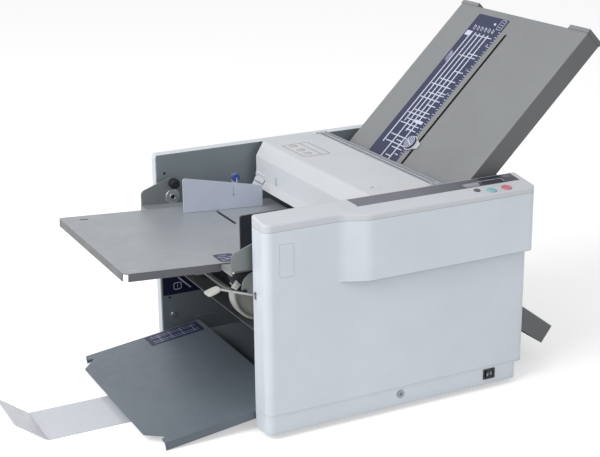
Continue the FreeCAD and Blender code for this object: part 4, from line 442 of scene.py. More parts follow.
class Build:
    """Collects closed forms that stand on faces into one piece that rides on a body."""

    def __init__(self, name, body, slot, material=None, smooth=None):
        self.name, self.body, self.slot = name, body, slot
        self.material = material or MATERIALS[slot]
        self.smooth = smooth
        self.mesh = bmesh.new()

    def loft(self, rings, closed_ends=True):
        """Closed skin through rings of the same number of places, each a loop."""
        rows = [[self.mesh.verts.new(place) for place in ring] for ring in rings]
        for low, high in zip(rows, rows[1:]):
            count = len(low)
            for number in range(count):
                after = (number + 1) % count
                self.mesh.faces.new((low[number], low[after], high[after], high[number]))
        if closed_ends:
            self.mesh.faces.new(list(reversed(rows[0])))
            self.mesh.faces.new(rows[-1])
        return self

    def prism(self, face, outline, high=PRINT, low=UNDER, inset=0.0):
        """Plate of this outline; inset draws its upper edge in, as a rounded-over rim does."""
        middle_u = sum(u for u, v in outline) / len(outline)
        middle_v = sum(v for u, v in outline) / len(outline)

        def ring(lift, draw):
            places = []
            for u, v in outline:
                away = Vector((u - middle_u, v - middle_v))
                share = 1 - draw / away.length if away.length > draw else 0.05
                places.append(face.at(middle_u + away.x * share, middle_v + away.y * share, lift))
            return places
        rings = [ring(low, 0)]
        if inset:
            rings += [ring(high - inset, 0), ring(high - inset * 0.3, inset * 0.3)]
        rings.append(ring(high, inset))
        return self.loft(rings)

    def line(self, face, points, width, high=PRINT, closed=False, low=UNDER):
        left, right = stroke(points, width, closed)
        if not closed:
            return self.prism(face, right + left[::-1], high, low)
        rings = [[face.at(u, v, lift) for u, v in side]
                 for side, lift in ((right, low), (right, high), (left, high), (left, low), (right, low))]
        return self.loft(rings, closed_ends=False)

    def lathe(self, face, u, v, profile, steps=40):
        """Turned form: profile holds (radius, height) places from its outside foot to the axis."""
        rings = []
        for radius, height in profile:
            rings.append([face.at(place_u, place_v, height)
                          for place_u, place_v in disc(u, v, max(radius, 0.01), steps)])
        return self.loft(rings)

    def digits(self, face, text, u, v, size, high=PRINT):
        curve = bpy.data.curves.new(self.name, "FONT")
        curve.body, curve.size, curve.align_x, curve.align_y = text, size, "CENTER", "CENTER"
        curve.extrude = (high - UNDER) / 2
        curve.resolution_u = 4
        ghost = bpy.data.objects.new(self.name, curve)
        mesh = bpy.data.meshes.new_from_object(ghost)
        for vertex in mesh.vertices:
            vertex.co = face.at(u + vertex.co.x, v + vertex.co.y, vertex.co.z + (high + UNDER) / 2)
        self.mesh.from_mesh(mesh)
        bpy.data.objects.remove(ghost)
        bpy.data.meshes.remove(mesh)
        bpy.data.curves.remove(curve)
        return self

    def done(self):
        bmesh.ops.remove_doubles(self.mesh, verts=self.mesh.verts, dist=1e-7)
        bmesh.ops.recalc_face_normals(self.mesh, faces=self.mesh.faces)
        mesh = bpy.data.meshes.new(self.name)
        self.mesh.to_mesh(mesh)
        self.mesh.free()
        if self.smooth is not None:
            mesh.shade_smooth()
            mesh.set_sharp_from_angle(angle=math.radians(self.smooth))
        mesh.materials.append(self.material)
        piece = bpy.data.objects.new(self.name, mesh)
        bpy.context.scene.collection.objects.link(piece)
        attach(piece, self.body)
        return piece


# Finishes of the prints and of single small parts
NAVY = film("print_navy", (0.014, 0.021, 0.072), 0.5, coat=0.05)
NAVY_DEEP = film("print_navy_deep", (0.002, 0.006, 0.036), 0.5, coat=0.05)
LILAC = film("print_lilac", (0.66, 0.69, 0.84), 0.45, 0.05)
DUSK = film("print_dusk", (0.20, 0.21, 0.33), 0.45, 0.05)
INK = film("print_ink", (0.07, 0.075, 0.08), 0.5)
FAINT_INK = film("print_faint", (0.42, 0.43, 0.44), 0.5)
OVAL_MARK = film("oval_mark", (0.42, 0.43, 0.43), 0.4)
PALE_LINE = film("pale_line", (0.72, 0.74, 0.77), 0.4)
STRIP_PALE = film("strip_pale", (0.30, 0.31, 0.35), 0.4)
STRIP_DIM = film("strip_dim", (0.10, 0.095, 0.13), 0.4)
STRIP_DARK = film("strip_night", (0.018, 0.022, 0.034), 0.3)
SHADE_LINE = film("groove_shade", (0.43, 0.455, 0.49), 0.6)
CHANNEL_SHADE = film("channel_shade", (0.20, 0.21, 0.24), 0.5)
COVER_SHADE = moulded("cover_shade", (0.575, 0.62, 0.685), 0.4, 0.45, 0.015)
# Painted shadow line under the bulge's lower edge
COVER_SHADOW_LINE = moulded("cover_shadow_line", (0.47, 0.51, 0.565), 0.5, 0.45, 0.015)
# Painted shade of the dimple on the lid's front
DIMPLE_SHADE = moulded("lid_dimple_shaded", (0.55, 0.61, 0.61), 0.5, 0.6, 0.02)
END_PLATE = moulded("end_plate", (0.56, 0.60, 0.59), 0.4, 0.6, 0.015)
THUMB_IVORY = moulded("thumb_ivory", (0.50, 0.51, 0.48), 0.45, 0.6, 0.015)
# Painted shade that stands for holes, sockets, recesses and slots
HOLE_SHADE = rubbery("hole_shade", (0.006, 0.006, 0.007), 0.8)


# Upper fold plate: its printed setting scale, in places along and across the plate.
# Prints that cross stand at different lifts, so that no two of their faces fall together.
FILM_LIFT, SMALL_LIFT, LONG_LIFT, SIGN_LIFT, BAR_LIFT = 0.1, 0.15, 0.16, 0.17, 0.18
SCALE = (-53.0, 252.0, 241.0, 330.0)
LONG_LINES = ((265, 215, -53), (277, 215, 4), (289, 215, -53), (301, 215, 20), (313, 215, -28))
CROSS_BARS = ((210.4, 251, 298), (173, 251, 279), (166.4, 252, 297), (134.6, 252, 276), (114.4, 252, 298),
              (101.4, 252, 310), (88.4, 252, 275), (83.4, 252, 298), (72, 252, 310), (61, 252, 277),
              (46, 253, 298), (37.6, 253, 309), (26.4, 252, 298), (16.6, 252, 309), (8, 252, 280),
              (-9, 260, 309), (-16.4, 266, 282), (-23, 250, 309), (-30.4, 250, 281), (-40.4, 250, 260),
              (-47, 266, 281))
LONG_WIDTH, BAR_WIDTH, SIGN_WIDTH = 3.0, 1.8, 0.9
TICK_PITCH, TICK_FIRST, TICK_COUNT = 10.4, 225.0, 26
TICK_FOOT, LONG_TICK, SHORT_TICK = 241.6, 247, 244.4
NUMBERS, NUMBER_V, NUMBER_SIZE = (("20", 196), ("15", 143), ("10", 91), ("5", 39)), 250, 6
SHEET_MARK, WIDE_BAR, SIZE_FRAME = (206, 216, 311, 327), (23.4, 29.4, 252, 274), (230, 250, 247, 260)
FRAME_TICKS, FRAME_TICK_SPAN = (235, 240, 245), (250, 257)
GLYPH_PLACES, GLYPH_U = (262, 272.6, 283.2, 293.8, 304.4, 315), 224.0
SLOT_START, SLOT_STOP, SLOT_LOW, SLOT_HIGH, SLOT_RIM = -51.0, 224.6, 222.1, 227.9, 0.9
SLOT_LIFT, SLOT_FOOT = 0.07, -1.1


def scale_glyph(marks, number, v):
    """Small outline of a folded sheet, with its fold line a little further on in each."""
    fold = GLYPH_U - 2 + number
    marks.line(PLATE_1, [(GLYPH_U - 4, v - 2.6), (GLYPH_U + 2, v - 2.6), (GLYPH_U + 4.6, v + 2.4),
                         (GLYPH_U - 1.4, v + 2.4)], SIGN_WIDTH, SMALL_LIFT, closed=True)
    marks.line(PLATE_1, [(fold, v - 2.4), (fold + 2.4, v + 2.2)], 0.8, SIGN_LIFT)


def scale_label():
    label = Build("plate_scale_film", "chassis", "dial_navy", NAVY)
    label.prism(PLATE_1, block(*SCALE, 3), FILM_LIFT).done()
    marks = Build("plate_scale_marks", "chassis", "fence_light", LILAC)
    for v, start, end in LONG_LINES:
        marks.line(PLATE_1, [(end, v), (start, v)], LONG_WIDTH, LONG_LIFT)
    for u, low, high in CROSS_BARS:
        marks.line(PLATE_1, [(u, low), (u, high)], BAR_WIDTH, BAR_LIFT)
    marks.prism(PLATE_1, block(*SHEET_MARK), SIGN_LIFT)
    marks.prism(PLATE_1, block(*WIDE_BAR), 0.19)
    for number in range(TICK_COUNT):
        u = TICK_FIRST - number * TICK_PITCH
        half = u - TICK_PITCH / 2
        marks.line(PLATE_1, [(u, TICK_FOOT), (u, LONG_TICK)], 1.2, SMALL_LIFT)
        marks.line(PLATE_1, [(half, TICK_FOOT), (half, SHORT_TICK)], 0.8, SMALL_LIFT)
    for text, u in NUMBERS:
        marks.digits(PLATE_1, text, u, NUMBER_V, NUMBER_SIZE, SMALL_LIFT)
    marks.line(PLATE_1, block(*SIZE_FRAME, 3), SIGN_WIDTH, SMALL_LIFT, closed=True)
    for u in FRAME_TICKS:
        marks.line(PLATE_1, [(u, v) for v in FRAME_TICK_SPAN], SIGN_WIDTH, SMALL_LIFT)
    marks.prism(PLATE_1, [(235.4, 268), (240.6, 268), (240.6, 274), (238.4, 274)], SMALL_LIFT)
    for number, v in enumerate(GLYPH_PLACES):
        scale_glyph(marks, number, v)
    marks.line(PLATE_1, [(160, 321.4), (168, 321.4)], 1.4, SIGN_LIFT)
    marks.done()
    faint = Build("plate_scale_faint", "chassis", "dial_navy", DUSK)
    faint.prism(PLATE_1, [(146, 316), (166, 316), (172, 326), (152, 326)], 0.14)
    faint.done()
    # Painted shade down the long sides of the stop's slot
    slot_shade = Build("plate_slot_shade", "chassis", "rubber_dark", HOLE_SHADE)
    for low, high in ((SLOT_LOW, SLOT_LOW + SLOT_RIM), (SLOT_HIGH - SLOT_RIM, SLOT_HIGH)):
        slot_shade.prism(PLATE_1, block(SLOT_START, SLOT_STOP, low, high), SLOT_LIFT, SLOT_FOOT)
    slot_shade.done()


scale_label()


# Knobs of the fold stops: a white-striped face and a fine grip round the rim
STOP_SLIDES = {"1": (PLATE_1, -13.4), "2": (PLATE_2, -118.0)}
SLIDER_Y, DIAL_FACE, DIAL_RADIUS = 239.5, 5.8, 11.8
DIAL_STRIPES, STRIPE_WIDTH = ((-6.8, 6.0), (-2.4, 9.4), (2.4, 9.4), (6.8, 6.0)), 1.7
GRIP_COUNT, GRIP_FLUTES = 30, ((0.0, 0.0), (0.25, 0.45), (0.5, 0.45), (0.75, 0.0))


def stop_dials():
    foot = DIAL_FACE + UNDER
    for number, (face, s) in STOP_SLIDES.items():
        art = Build(f"stop_knob_{number}_marks", f"stop_knob_{number}", "fence_light", LILAC)
        for v, half in DIAL_STRIPES:
            art.line(face, [(s - half, SLIDER_Y + v), (s + half, SLIDER_Y + v)], STRIPE_WIDTH,
                     DIAL_FACE + 0.12, low=foot)
        art.line(face, [(s - 4.4, SLIDER_Y - 7.6), (s + 2.4, SLIDER_Y + 7.6)], STRIPE_WIDTH,
                 DIAL_FACE + 0.14, low=foot)
        art.line(face, disc(s, SLIDER_Y, DIAL_RADIUS - 0.9), 1.1, DIAL_FACE + 0.13, closed=True, low=foot)
        art.done()
        rim = Build(f"stop_knob_{number}_rim", f"stop_knob_{number}", "dial_navy", NAVY, 40)
        rim.prism(face, fluted(s, SLIDER_Y, DIAL_RADIUS, GRIP_COUNT, GRIP_FLUTES), DIAL_FACE - 0.9,
                  DIAL_FACE - 2.7)
        rim.done()


stop_dials()


# Far side frame: label, holes, screw and the table's pivot hardware
PIVOT_X, PIVOT_Z = 26.4, 260.3
FRAME_LABEL, NUMBER_BOX, NUMBER_AT = (6.4, 118, 84.5, 132), (26, 39.5, 93, 104.5), (32.7, 98.7)
FRAME_HOLES, FRAME_SCREW = ((17.5, 298.7, 2.3), (17.8, 80.3, 2.0)), (23, 49.5)


def socket_screw(name, face, u, v, radius, height):
    head = Build(name, "chassis", "zinc", None, 35)
    head.lathe(face, u, v, [(radius, UNDER), (radius, height * 0.6), (radius * 0.85, height),
                            (radius * 0.48, height), (radius * 0.42, height * 0.35), (0, height * 0.25)], 32)
    head.done()


def washer(name, body, face, u, v, outer, inner, thick):
    ring = Build(name, body, "zinc", None, 35)
    ring.lathe(face, u, v, [(inner, UNDER), (outer - 0.3, UNDER), (outer, 0.2), (outer, thick - 0.4),
                            (outer - 0.4, thick), (inner + 0.2, thick), (inner, thick - 0.2), (inner, 0)])
    ring.done()


def pivot_hardware(name, face, u):
    """Washer that turns with the table's ear, and the pivot bolt's head with its socket."""
    washer(f"{name}_pivot_washer", "table", face, u, PIVOT_Z, 12.6, 6.6, 1.6)
    cap = Build(f"{name}_pivot_cap", "chassis", "zinc", None, 35)
    cap.lathe(face, u, PIVOT_Z, [(6.0, 1.7), (6.0, 2.2), (5.6, 2.5), (3.9, 2.5), (3.6, 2.0), (0, 1.95)])
    cap.done()
    # The bolt's socket is painted shade
    core = Build(f"{name}_pivot_socket_shade", "chassis", "rubber_dark", HOLE_SHADE)
    core.lathe(face, u, PIVOT_Z, [(3.6, 1.8), (3.6, 2.15), (0, 2.2)])
    core.done()


def far_frame_details():
    label = Build("frame_label", "chassis", "dial_navy", NAVY_DEEP)
    label.prism(FAR_FRAME, block(*FRAME_LABEL, 3), 0.12).done()
    marks = Build("frame_label_marks", "chassis", "fence_light", LILAC)
    marks.line(FAR_FRAME, block(*NUMBER_BOX, 3), 1.3, BAR_LIFT, closed=True)
    marks.digits(FAR_FRAME, "1", *NUMBER_AT, 8, BAR_LIFT)
    marks.line(FAR_FRAME, [(34, 114), (57, 92)], 2.2, BAR_LIFT)
    marks.done()
    # The frame's holes are painted shade
    holes = Build("frame_holes", "chassis", "rubber_dark", HOLE_SHADE)
    for u, v, radius in FRAME_HOLES:
        holes.prism(FAR_FRAME, disc(u, v, radius), 0.1)
    holes.done()
    socket_screw("frame_screw", FAR_FRAME, *FRAME_SCREW, 4.2, 2.4)
    pivot_hardware("far", FAR_EAR, PIVOT_X)
    pivot_hardware("near", NEAR_EAR, -PIVOT_X)


far_frame_details()


# Knob on the far ear of the table: a coarse grip on its rim and a raised cap on its end
KNOB_AT, KNOB_RADIUS, KNOB_WIDTH = (28.0, 284.0), 8.0, 11.0
KNOB_RIBS, KNOB_FLUTES = 14, ((0.0, 0.0), (0.2, 0.55), (0.5, 0.7), (0.8, 0.0))


def table_knob_grip():
    grip = Build("table_knob_grip", "table_knob", "black_plastic", None, 40)
    grip.prism(KNOB_FACE, fluted(*KNOB_AT, KNOB_RADIUS, KNOB_RIBS, KNOB_FLUTES), KNOB_WIDTH - 1.2, 1.0)
    grip.lathe(KNOB_FACE, *KNOB_AT, [
        (5.6, KNOB_WIDTH - 0.4), (5.6, KNOB_WIDTH + 0.5), (5.1, KNOB_WIDTH + 0.9),
        (3.4, KNOB_WIDTH + 0.9), (3.0, KNOB_WIDTH + 0.3), (0, KNOB_WIDTH + 0.2)], 28)
    grip.done()


table_knob_grip()


# Top cover: feed pictogram, small marks, finger tab and the dimple over the catch.
# The tab's shadow line, a small groove's outline and the dimple are painted shade.
PICTOGRAM, PICTOGRAM_SPLIT, SHEET_ROWS = (206.8, 253.8, 280, 359.6), 239, (348, 320, 296)
LID_GROOVE, DIMPLE_AT = (205, 251, 273, 277), (-329, -320.5, 277, 293)
TAB_FAR, TAB_NEAR, TAB_WIDTH, TAB_LIFT = -399, -368, 2.2, 1.3


def lid_details():
    sign = Build("lid_pictogram", "lid", "frame_grey", INK)
    sign.line(LID_TOP, block(*PICTOGRAM, 1.5), 1.2, closed=True)
    sign.line(LID_TOP, [(PICTOGRAM_SPLIT, 280.4), (PICTOGRAM_SPLIT, 359.2)], 1.1, 0.1)
    for v in SHEET_ROWS:
        sign.line(LID_TOP, [(215, v + 5), (227, v + 5), (227, v - 3), (221, v - 6)], 1.5, 0.09)
        sign.line(LID_TOP, [(213, v - 2), (220, v - 6)], 1.5, 0.11)
        sign.line(LID_TOP, [(219, v + 1), (223, v + 1)], 1.3, 0.1)
    sign.done()
    marks = Build("lid_marks", "lid", "frame_grey", INK)
    marks.line(LID_TOP, [(210, 74), (215, 73), (216.5, 79)], 1.3)
    marks.done()
    faint = Build("lid_faint_marks", "lid", "frame_grey", FAINT_INK)
    faint.line(LID_TOP, [(221, 70.5), (238, 66)], 0.8)
    # The outline round the small groove is its painted shade, in the faint ink
    faint.line(LID_TOP, block(*LID_GROOVE, 1), 0.5, closed=True)
    faint.done()
    tab = Build("lid_finger_tab", "lid", "lid_white", None, 35)
    for face, inner, outer in ((LID_FRONT, 276.6, 283), (LID_FLAP, 14.8, 9)):
        tab.line(face, [(TAB_FAR, inner), (TAB_FAR, outer), (TAB_NEAR, outer), (TAB_NEAR, inner)],
                 TAB_WIDTH, TAB_LIFT)
    tab.done()
    # Painted shadow along the tab's lower and right edges, in the print ink
    edge = Build("lid_tab_shadow_line", "lid", "frame_grey", INK)
    edge.line(LID_FLAP, [(-396, 7.2), (-366.2, 7.2), (-366.2, 14.6)], 0.9, 0.9)
    edge.done()
    # The dimple's darker grey-green is painted shade
    dimple = Build("lid_dimple_shaded", "lid", "lid_white", DIMPLE_SHADE, 40)
    dimple.prism(LID_FRONT, block(*DIMPLE_AT, 4), 0.5, inset=0.45)
    dimple.done()


lid_details()


# Control strip: film with a slanted end, display surround and key symbols
KEY_PLACES = (341, 366, 388)


def strip_details():
    tail = Build("strip_film", "chassis", "strip_dark")
    tail.prism(CAP, [(156.5, on_cap(14.2)), (160, on_cap(14.2)), (160, on_cap(40)), (151, on_cap(40))], 0.12)
    tail.done()
    dark = Build("strip_glass", "chassis", "strip_dark", STRIP_DARK)
    low, high = on_cap(28.4), on_cap(39.6)
    dark.prism(CAP, [(372, low), (437.6, low), (437.6, high), (378, high)], 0.1)
    dark.done()
    pale = Build("strip_panels", "chassis", "strip_dark", STRIP_PALE)
    pale.prism(CAP, block(342, 369, on_cap(19), on_cap(28), 0.8), 0.12)
    pale.done()
    dim = Build("strip_dim_panel", "chassis", "strip_dark", STRIP_DIM)
    dim.prism(CAP, block(417, 432, on_cap(29.6), on_cap(38), 0.8), 0.13)
    dim.done()
    lines = Build("strip_lines", "chassis", "fence_light", PALE_LINE)
    lines.line(CAP, [(369, on_cap(29)), (412.6, on_cap(29)), (412.6, on_cap(18))], 0.8, 0.3)
    lines.line(CAP, [(344, on_cap(17)), (366, on_cap(17))], 0.7, 0.14)
    lines.done()
    symbols = Build("key_symbols", "chassis", "frame_grey", FAINT_INK)
    for x in KEY_PLACES:
        symbols.line(CAP, [(x - 3, on_cap(8)), (x + 3, on_cap(8))], 0.6)
        symbols.line(CAP, [(x - 3, on_cap(10)), (x + 1, on_cap(10))], 0.6)
    symbols.done()


strip_details()


# Near cover and rear channel: switch marks, screw recess, folded lip and grooves, moulded panel
SCREW_X, SCREW_Z, SCREW_FACE, CROSS_REACH = 222.6, 27.0, 1.26, 2.6
CHANNEL_HIGHLIGHT_BOX, MOULD_MARK = (303.4, 314.4, 47, 56), (22.5, 45, 249, 298)


def cover_details():
    on_off = Build("rocker_marks", "rocker", "fence_light", LILAC)
    on_off.line(ROCKER_ON, [(0, 23.4), (0, 28.6)], 1.0, 0.14)
    on_off.line(ROCKER_OFF, disc(3.4, 26, 1.7, 20), 0.8, 0.14, closed=True)
    on_off.done()
    # The screw's cross recess is painted shade
    cross = Build("screw_recess", "chassis", "rubber_dark", HOLE_SHADE)
    for u, v in ((CROSS_REACH, 0), (0, CROSS_REACH)):
        cross.line(NEAR_COVER, [(SCREW_X - u, SCREW_Z - v), (SCREW_X + u, SCREW_Z + v)], 1.1,
                   SCREW_FACE + u * 0.01)
    cross.done()
    # Painted highlights: a pale line along the channel's folded lip and a pale outline at its near end
    channel = Build("channel_lip", "chassis", "fence_light", PALE_LINE)
    channel.line(CHANNEL, [(307.6, 60), (307.6, 408)], 1.0, 0.22)
    channel.line(CHANNEL, block(*CHANNEL_HIGHLIGHT_BOX, 0.8), 0.8, 0.22, closed=True)
    channel.done()
    gap = Build("channel_groove", "chassis", "rubber_dark", CHANNEL_SHADE)
    gap.line(CHANNEL, [(310.4, 58), (310.4, 412)], 1.6, 0.1)
    gap.line(CHANNEL, [(302.6, 46), (302.6, 412)], 0.9, 0.1)
    gap.done()
    # The moulded panel's outline is painted shade
    mould = Build("cover_mould_mark", "chassis", "body_white", COVER_SHADE)
    mould.line(NEAR_COVER, block(*MOULD_MARK, 2), 0.7, 0.1, closed=True)
    mould.done()


cover_details()


# Seams and edge lines of the near cover, which follow the outline that the CAD cover has at a height
def rings_of(links):
    """Closed runs of linked places, each as a list in order."""
    rings, left = [], set(links)
    while left:
        here = left.pop()
        ring = [here]
        while True:
            onward = [place for place in links[here] if place in left]
            if not onward:
                break
            here = onward[0]
            left.discard(here)
            ring.append(here)
        rings.append(ring)
    return rings


def outline_at(node, height):
    """Outer outline of a CAD part at one height: places in metres, each with its way out."""
    cut = bmesh.new()
    cut.from_mesh(frame["nodes"][node].data)
    whole = cut.verts[:] + cut.edges[:] + cut.faces[:]
    found = bmesh.ops.bisect_plane(cut, geom=whole, plane_co=(0, 0, height / 1000), plane_no=(0, 0, 1),
                                   clear_outer=True, clear_inner=True)["geom_cut"]
    links = {}
    for edge in [item for item in found if isinstance(item, bmesh.types.BMEdge)]:
        first, second = (tuple(round(part, 6) for part in vertex.co[:2]) for vertex in edge.verts)
        if first != second:
            links.setdefault(first, set()).add(second)
            links.setdefault(second, set()).add(first)
    cut.free()
    loop = max(rings_of(links), key=lambda places: max(x for x, y in places) - min(x for x, y in places)
               + max(y for x, y in places) - min(y for x, y in places))
    if sum(a[0] * b[1] - b[0] * a[1] for a, b in zip(loop, loop[1:] + loop[:1])) < 0:
        loop.reverse()
    outline = []
    for number, here in enumerate(loop):
        before, after = Vector(loop[number - 1]), Vector(loop[(number + 1) % len(loop)])
        outline.append((Vector(here), Vector(((after - before).y, -(after - before).x)).normalized()))
    return outline


def seam_line(name, height, low, high, inside, face, material, shown=lambda place: True):
    """Band from low to high round the near cover, along the outline that it has at one height.

    Where shown says no, the band lies inside the wall."""
    band = Build(name, "chassis", "body_white", material)
    outline = outline_at("near_cover", height)
    rings = []
    for reach, level in ((inside, low), (face, low), (face, high), (inside, high), (inside, low)):
        rings.append([(*(place + out * (reach if shown(place) else inside) / 1000), level / 1000)
                      for place, out in outline])
    band.loft(rings, closed_ends=False)
    band.done()


# Each seam's outline height, foot and top, and how far its inside and its face lie out of the outline
CAP_SEAM = (317.2, 316.8, 317.6, -0.3, 0.05)
BULGE_SHADOW = (245, 225.0, 226.0, -1.4, 0.03)
PLINTH_SEAM = (48, 36.1, 38.3, -3.2, -0.25)
BULGE_FROM_Y = -0.6


def on_bulge(place):
    return place.y * 1000 + MIDDLE_Y < BULGE_FROM_Y


# The cap seam's band is painted groove shade, and the band under the bulge's lower edge a painted shadow line
seam_line("cap_seam", *CAP_SEAM, SHADE_LINE)
seam_line("bulge_shadow_line", *BULGE_SHADOW, COVER_SHADOW_LINE, on_bulge)
seam_line("plinth_seam", *PLINTH_SEAM, MATERIALS["body_white"])


# Feed table and tray: printed marks
PATCH_LINES = ((93, -25, -17), (93, -11, -5), (99, -24, -6), (107, -26, -14), (107, -9, -3), (114, -22, -8))
TRAY_ROWS, TRAY_COLUMNS = (360, 366, 378, 384), (-20, 0, 20, 40)
PATCH, OVAL, TRAY_LABEL = (-28, 3, 86.5, 122), (-165, -151, 91, 97.5), (-41, 54, 352, 391.5)


def table_prints():
    patch = Build("table_patch", "table", "dial_navy", NAVY)
    patch.prism(TABLE, block(*PATCH, 5), 0.1).done()
    marks = Build("table_patch_marks", "table", "fence_light", LILAC)
    for v, low, high in PATCH_LINES:
        marks.line(TABLE, [(low, v), (high, v)], 1.1, LONG_LIFT)
    marks.line(TABLE, [(-15, 93), (-12, 99), (-15, 107)], 0.9, BAR_LIFT)
    marks.done()
    ovals = Build("table_ovals", "table", "fence_light", OVAL_MARK)
    ovals.prism(TABLE, block(*OVAL, 3.2), 0.1)
    ovals.done()
    label = Build("tray_label", "chassis", "dial_navy", NAVY)
    label.prism(TRAY, block(*TRAY_LABEL, 3), 0.12).done()
    lines = Build("tray_label_marks", "chassis", "fence_light", LILAC)
    for v in TRAY_ROWS:
        lines.line(TRAY, [(-34, v), (48, v)], 0.7, BAR_LIFT)
    for u in TRAY_COLUMNS:
        lines.line(TRAY, [(u, 358), (u, 386)], 0.6, 0.2)
    lines.done()


table_prints()


# Exit deflector: pale wear strip, pale end plate with its rim, end stop
ARC_MIDDLE, ARC_RADIUS, ARC_STEPS = (22.2, 211.3), 22.0, 24
PLATE_RIGHT, PLATE_FOOT, PLATE_TOP = 33.6, 200.4, 232.9
WEAR_STRIP = (0.2, 9.0, 84.2, 373.8)
STOP_CORNERS = [(-15.3, 214.5), (-9.4, 210.2), (-1.6, 217.6), (-7.3, 224.4)]


def quarter(inset):
    """The curved edge of the end plate, drawn in by the inset."""
    return arc(*ARC_MIDDLE, ARC_RADIUS - inset, 90, 90, ARC_STEPS)


def deflector_details():
    strip = Build("deflector_strip", "chassis", "ivory_plastic")
    strip.prism(DEFLECTOR, block(*WEAR_STRIP), 0.5, inset=0.2).done()
    plate = Build("deflector_end_plate", "chassis", "ivory_plastic", END_PLATE)
    plate.prism(ARM_DISC, quarter(0.4) + [(0.6, PLATE_FOOT), (PLATE_RIGHT, PLATE_FOOT),
                                          (PLATE_RIGHT, PLATE_TOP)], 0.3)
    plate.done()
    rim = Build("deflector_end_rim", "chassis", "ivory_plastic", PALE_LINE, 35)
    rim.line(ARM_DISC, [(0.9, 201)] + list(reversed(quarter(1.2))) + [(PLATE_RIGHT, 232.2)], 2.2, 0.9).done()
    stop = Build("deflector_stop", "chassis", "ivory_plastic", None, 35)
    stop.prism(ARM, STOP_CORNERS, 5.5, inset=0.8)
    stop.done()


deflector_details()


# Release lever: thumb piece with a dished top, drawn in towards the bar.
# Each ring holds its x, half width, foot and top. Each corner holds its shares of the half width and height.
TIP_Y = 34.0
TIP_RINGS = ((-75.9, 6.6, 230.9, 232.6), (-75.2, 8.4, 230.2, 233.4), (-73.0, 9.4, 230.1, 234.4),
             (-68.0, 9.7, 231.0, 235.8), (-62.0, 9.4, 232.9, 237.6), (-58.4, 8.6, 234.2, 238.4),
             (-56.4, 7.0, 235.2, 238.5), (-55.2, 5.0, 236.2, 238.4))
CORNER_SHARES = ((-1, 0.35), (-0.86, 0.9), (-0.6, 1.0), (0, 0.86), (0.6, 1.0), (0.86, 0.9), (1, 0.35),
                 (0.9, 0.06), (0.5, 0), (-0.5, 0), (-0.9, 0.06))


def lever_thumb_piece():
    tip = Build("lever_thumb_piece", "lever", "ivory_plastic", THUMB_IVORY, 50)
    tip.loft([[at(x, TIP_Y + across * half, low + up * (high - low)) for across, up in CORNER_SHARES]
              for x, half, low, high in TIP_RINGS])
    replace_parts(tip.done(), "lever_tip")


lever_thumb_piece()


# Skew knob: white pointer, grip, and the index on the fence
SKEW_AT, SKEW_RADIUS, SKEW_RIBS = (113.7, 296.6), 6.6, 16
SKEW_FLUTES = ((0.0, 0.0), (0.25, 0.4), (0.5, 0.4), (0.75, 0.0))
POINTER_CORNERS = [(112.7, 290.4), (114.7, 290.4), (114.2, 297), (113.2, 297)]


def skew_details():
    index = Build("fence_index", "far_guide", "frame_grey", INK)
    index.prism(FENCE, disc(106, 270, 1.3, 20), 0.12)
    index.line(FENCE, [(105.6, 272), (105.6, 286)], 0.5)
    index.done()
    pointer = Build("skew_pointer", "skew_knob", "fence_light", LILAC)
    pointer.prism(SKEW_FACE, POINTER_CORNERS, 0.9, -0.6)
    pointer.done()
    ribs = Build("skew_knob_ribs", "skew_knob", "blue_plastic", None, 40)
    ribs.prism(SKEW_FACE, fluted(*SKEW_AT, SKEW_RADIUS, SKEW_RIBS, SKEW_FLUTES), -1.0, -6.0)
    ribs.done()


skew_details()


# Rear: pressed cooling louvres and the screws of the panel
LOUVRE_COLUMNS, LOUVRE_ROWS, LOUVRE_PITCH, LOUVRE_LOW = (112.0, 229.15, 346.3), 9, 11.0, 190.0
HOOD_HALF, HOOD_HEIGHT, SLOT_HALF, SLOT_HEIGHT = 34, 5.2, 31.5, 1.6
REAR_SCREWS = ((52, 30), (406, 30), (52, 306), (406, 306), (229, 306), (229, 24))


def rear_details():
    hoods = Build("rear_louvres", "chassis", "frame_grey", None, 35)
    # The openings under the louvre hoods are painted shade
    slots = Build("rear_louvre_slots", "chassis", "rubber_dark", HOLE_SHADE)
    for column in LOUVRE_COLUMNS:
        for row in range(LOUVRE_ROWS):
            v = LOUVRE_LOW + row * LOUVRE_PITCH
            hoods.prism(REAR, block(column - HOOD_HALF, column + HOOD_HALF, v, v + HOOD_HEIGHT, 2.4), 1.8,
                        inset=1.3)
            slots.prism(REAR, block(column - SLOT_HALF, column + SLOT_HALF, v - SLOT_HEIGHT, v, 0.5), 0.06)
    hoods.done()
    slots.done()
    for number, (u, v) in enumerate(REAR_SCREWS, 1):
        socket_screw(f"rear_screw_{number}", REAR, u, v, 3.6, 2.2)


rear_details()


# Room: a pale floor, soft lamps and the camera at the photograph's place
FLOOR_HALF = 12.0
FLOOR_ALBEDO = 0.86
FLOOR_LIFT = 0.47
WORLD_LIGHT = 0.50
WHITE = (1, 1, 1)
AIM = (0, 0, 0.2)
# Each lamp's place and size in metres, power in watts, and colour
KEY_LAMP = ((-2.4, -0.5, 2.3), (2.2, 2.2), 66, WHITE)
FRONT_LAMP = ((0.6, -3.0, 1.2), (2.4, 1.6), 9, (0.95, 0.98, 1.0))


def lamp(name, place, size, power, colour):
    data = bpy.data.lights.new(name, "AREA")
    data.shape = "RECTANGLE"
    data.size, data.size_y = size
    data.energy = power
    data.color = colour
    made = bpy.data.objects.new(name, data)
    bpy.context.scene.collection.objects.link(made)
    made.location = place
    made.rotation_euler = (Vector(AIM) - Vector(place)).to_track_quat("-Z", "Y").to_euler()


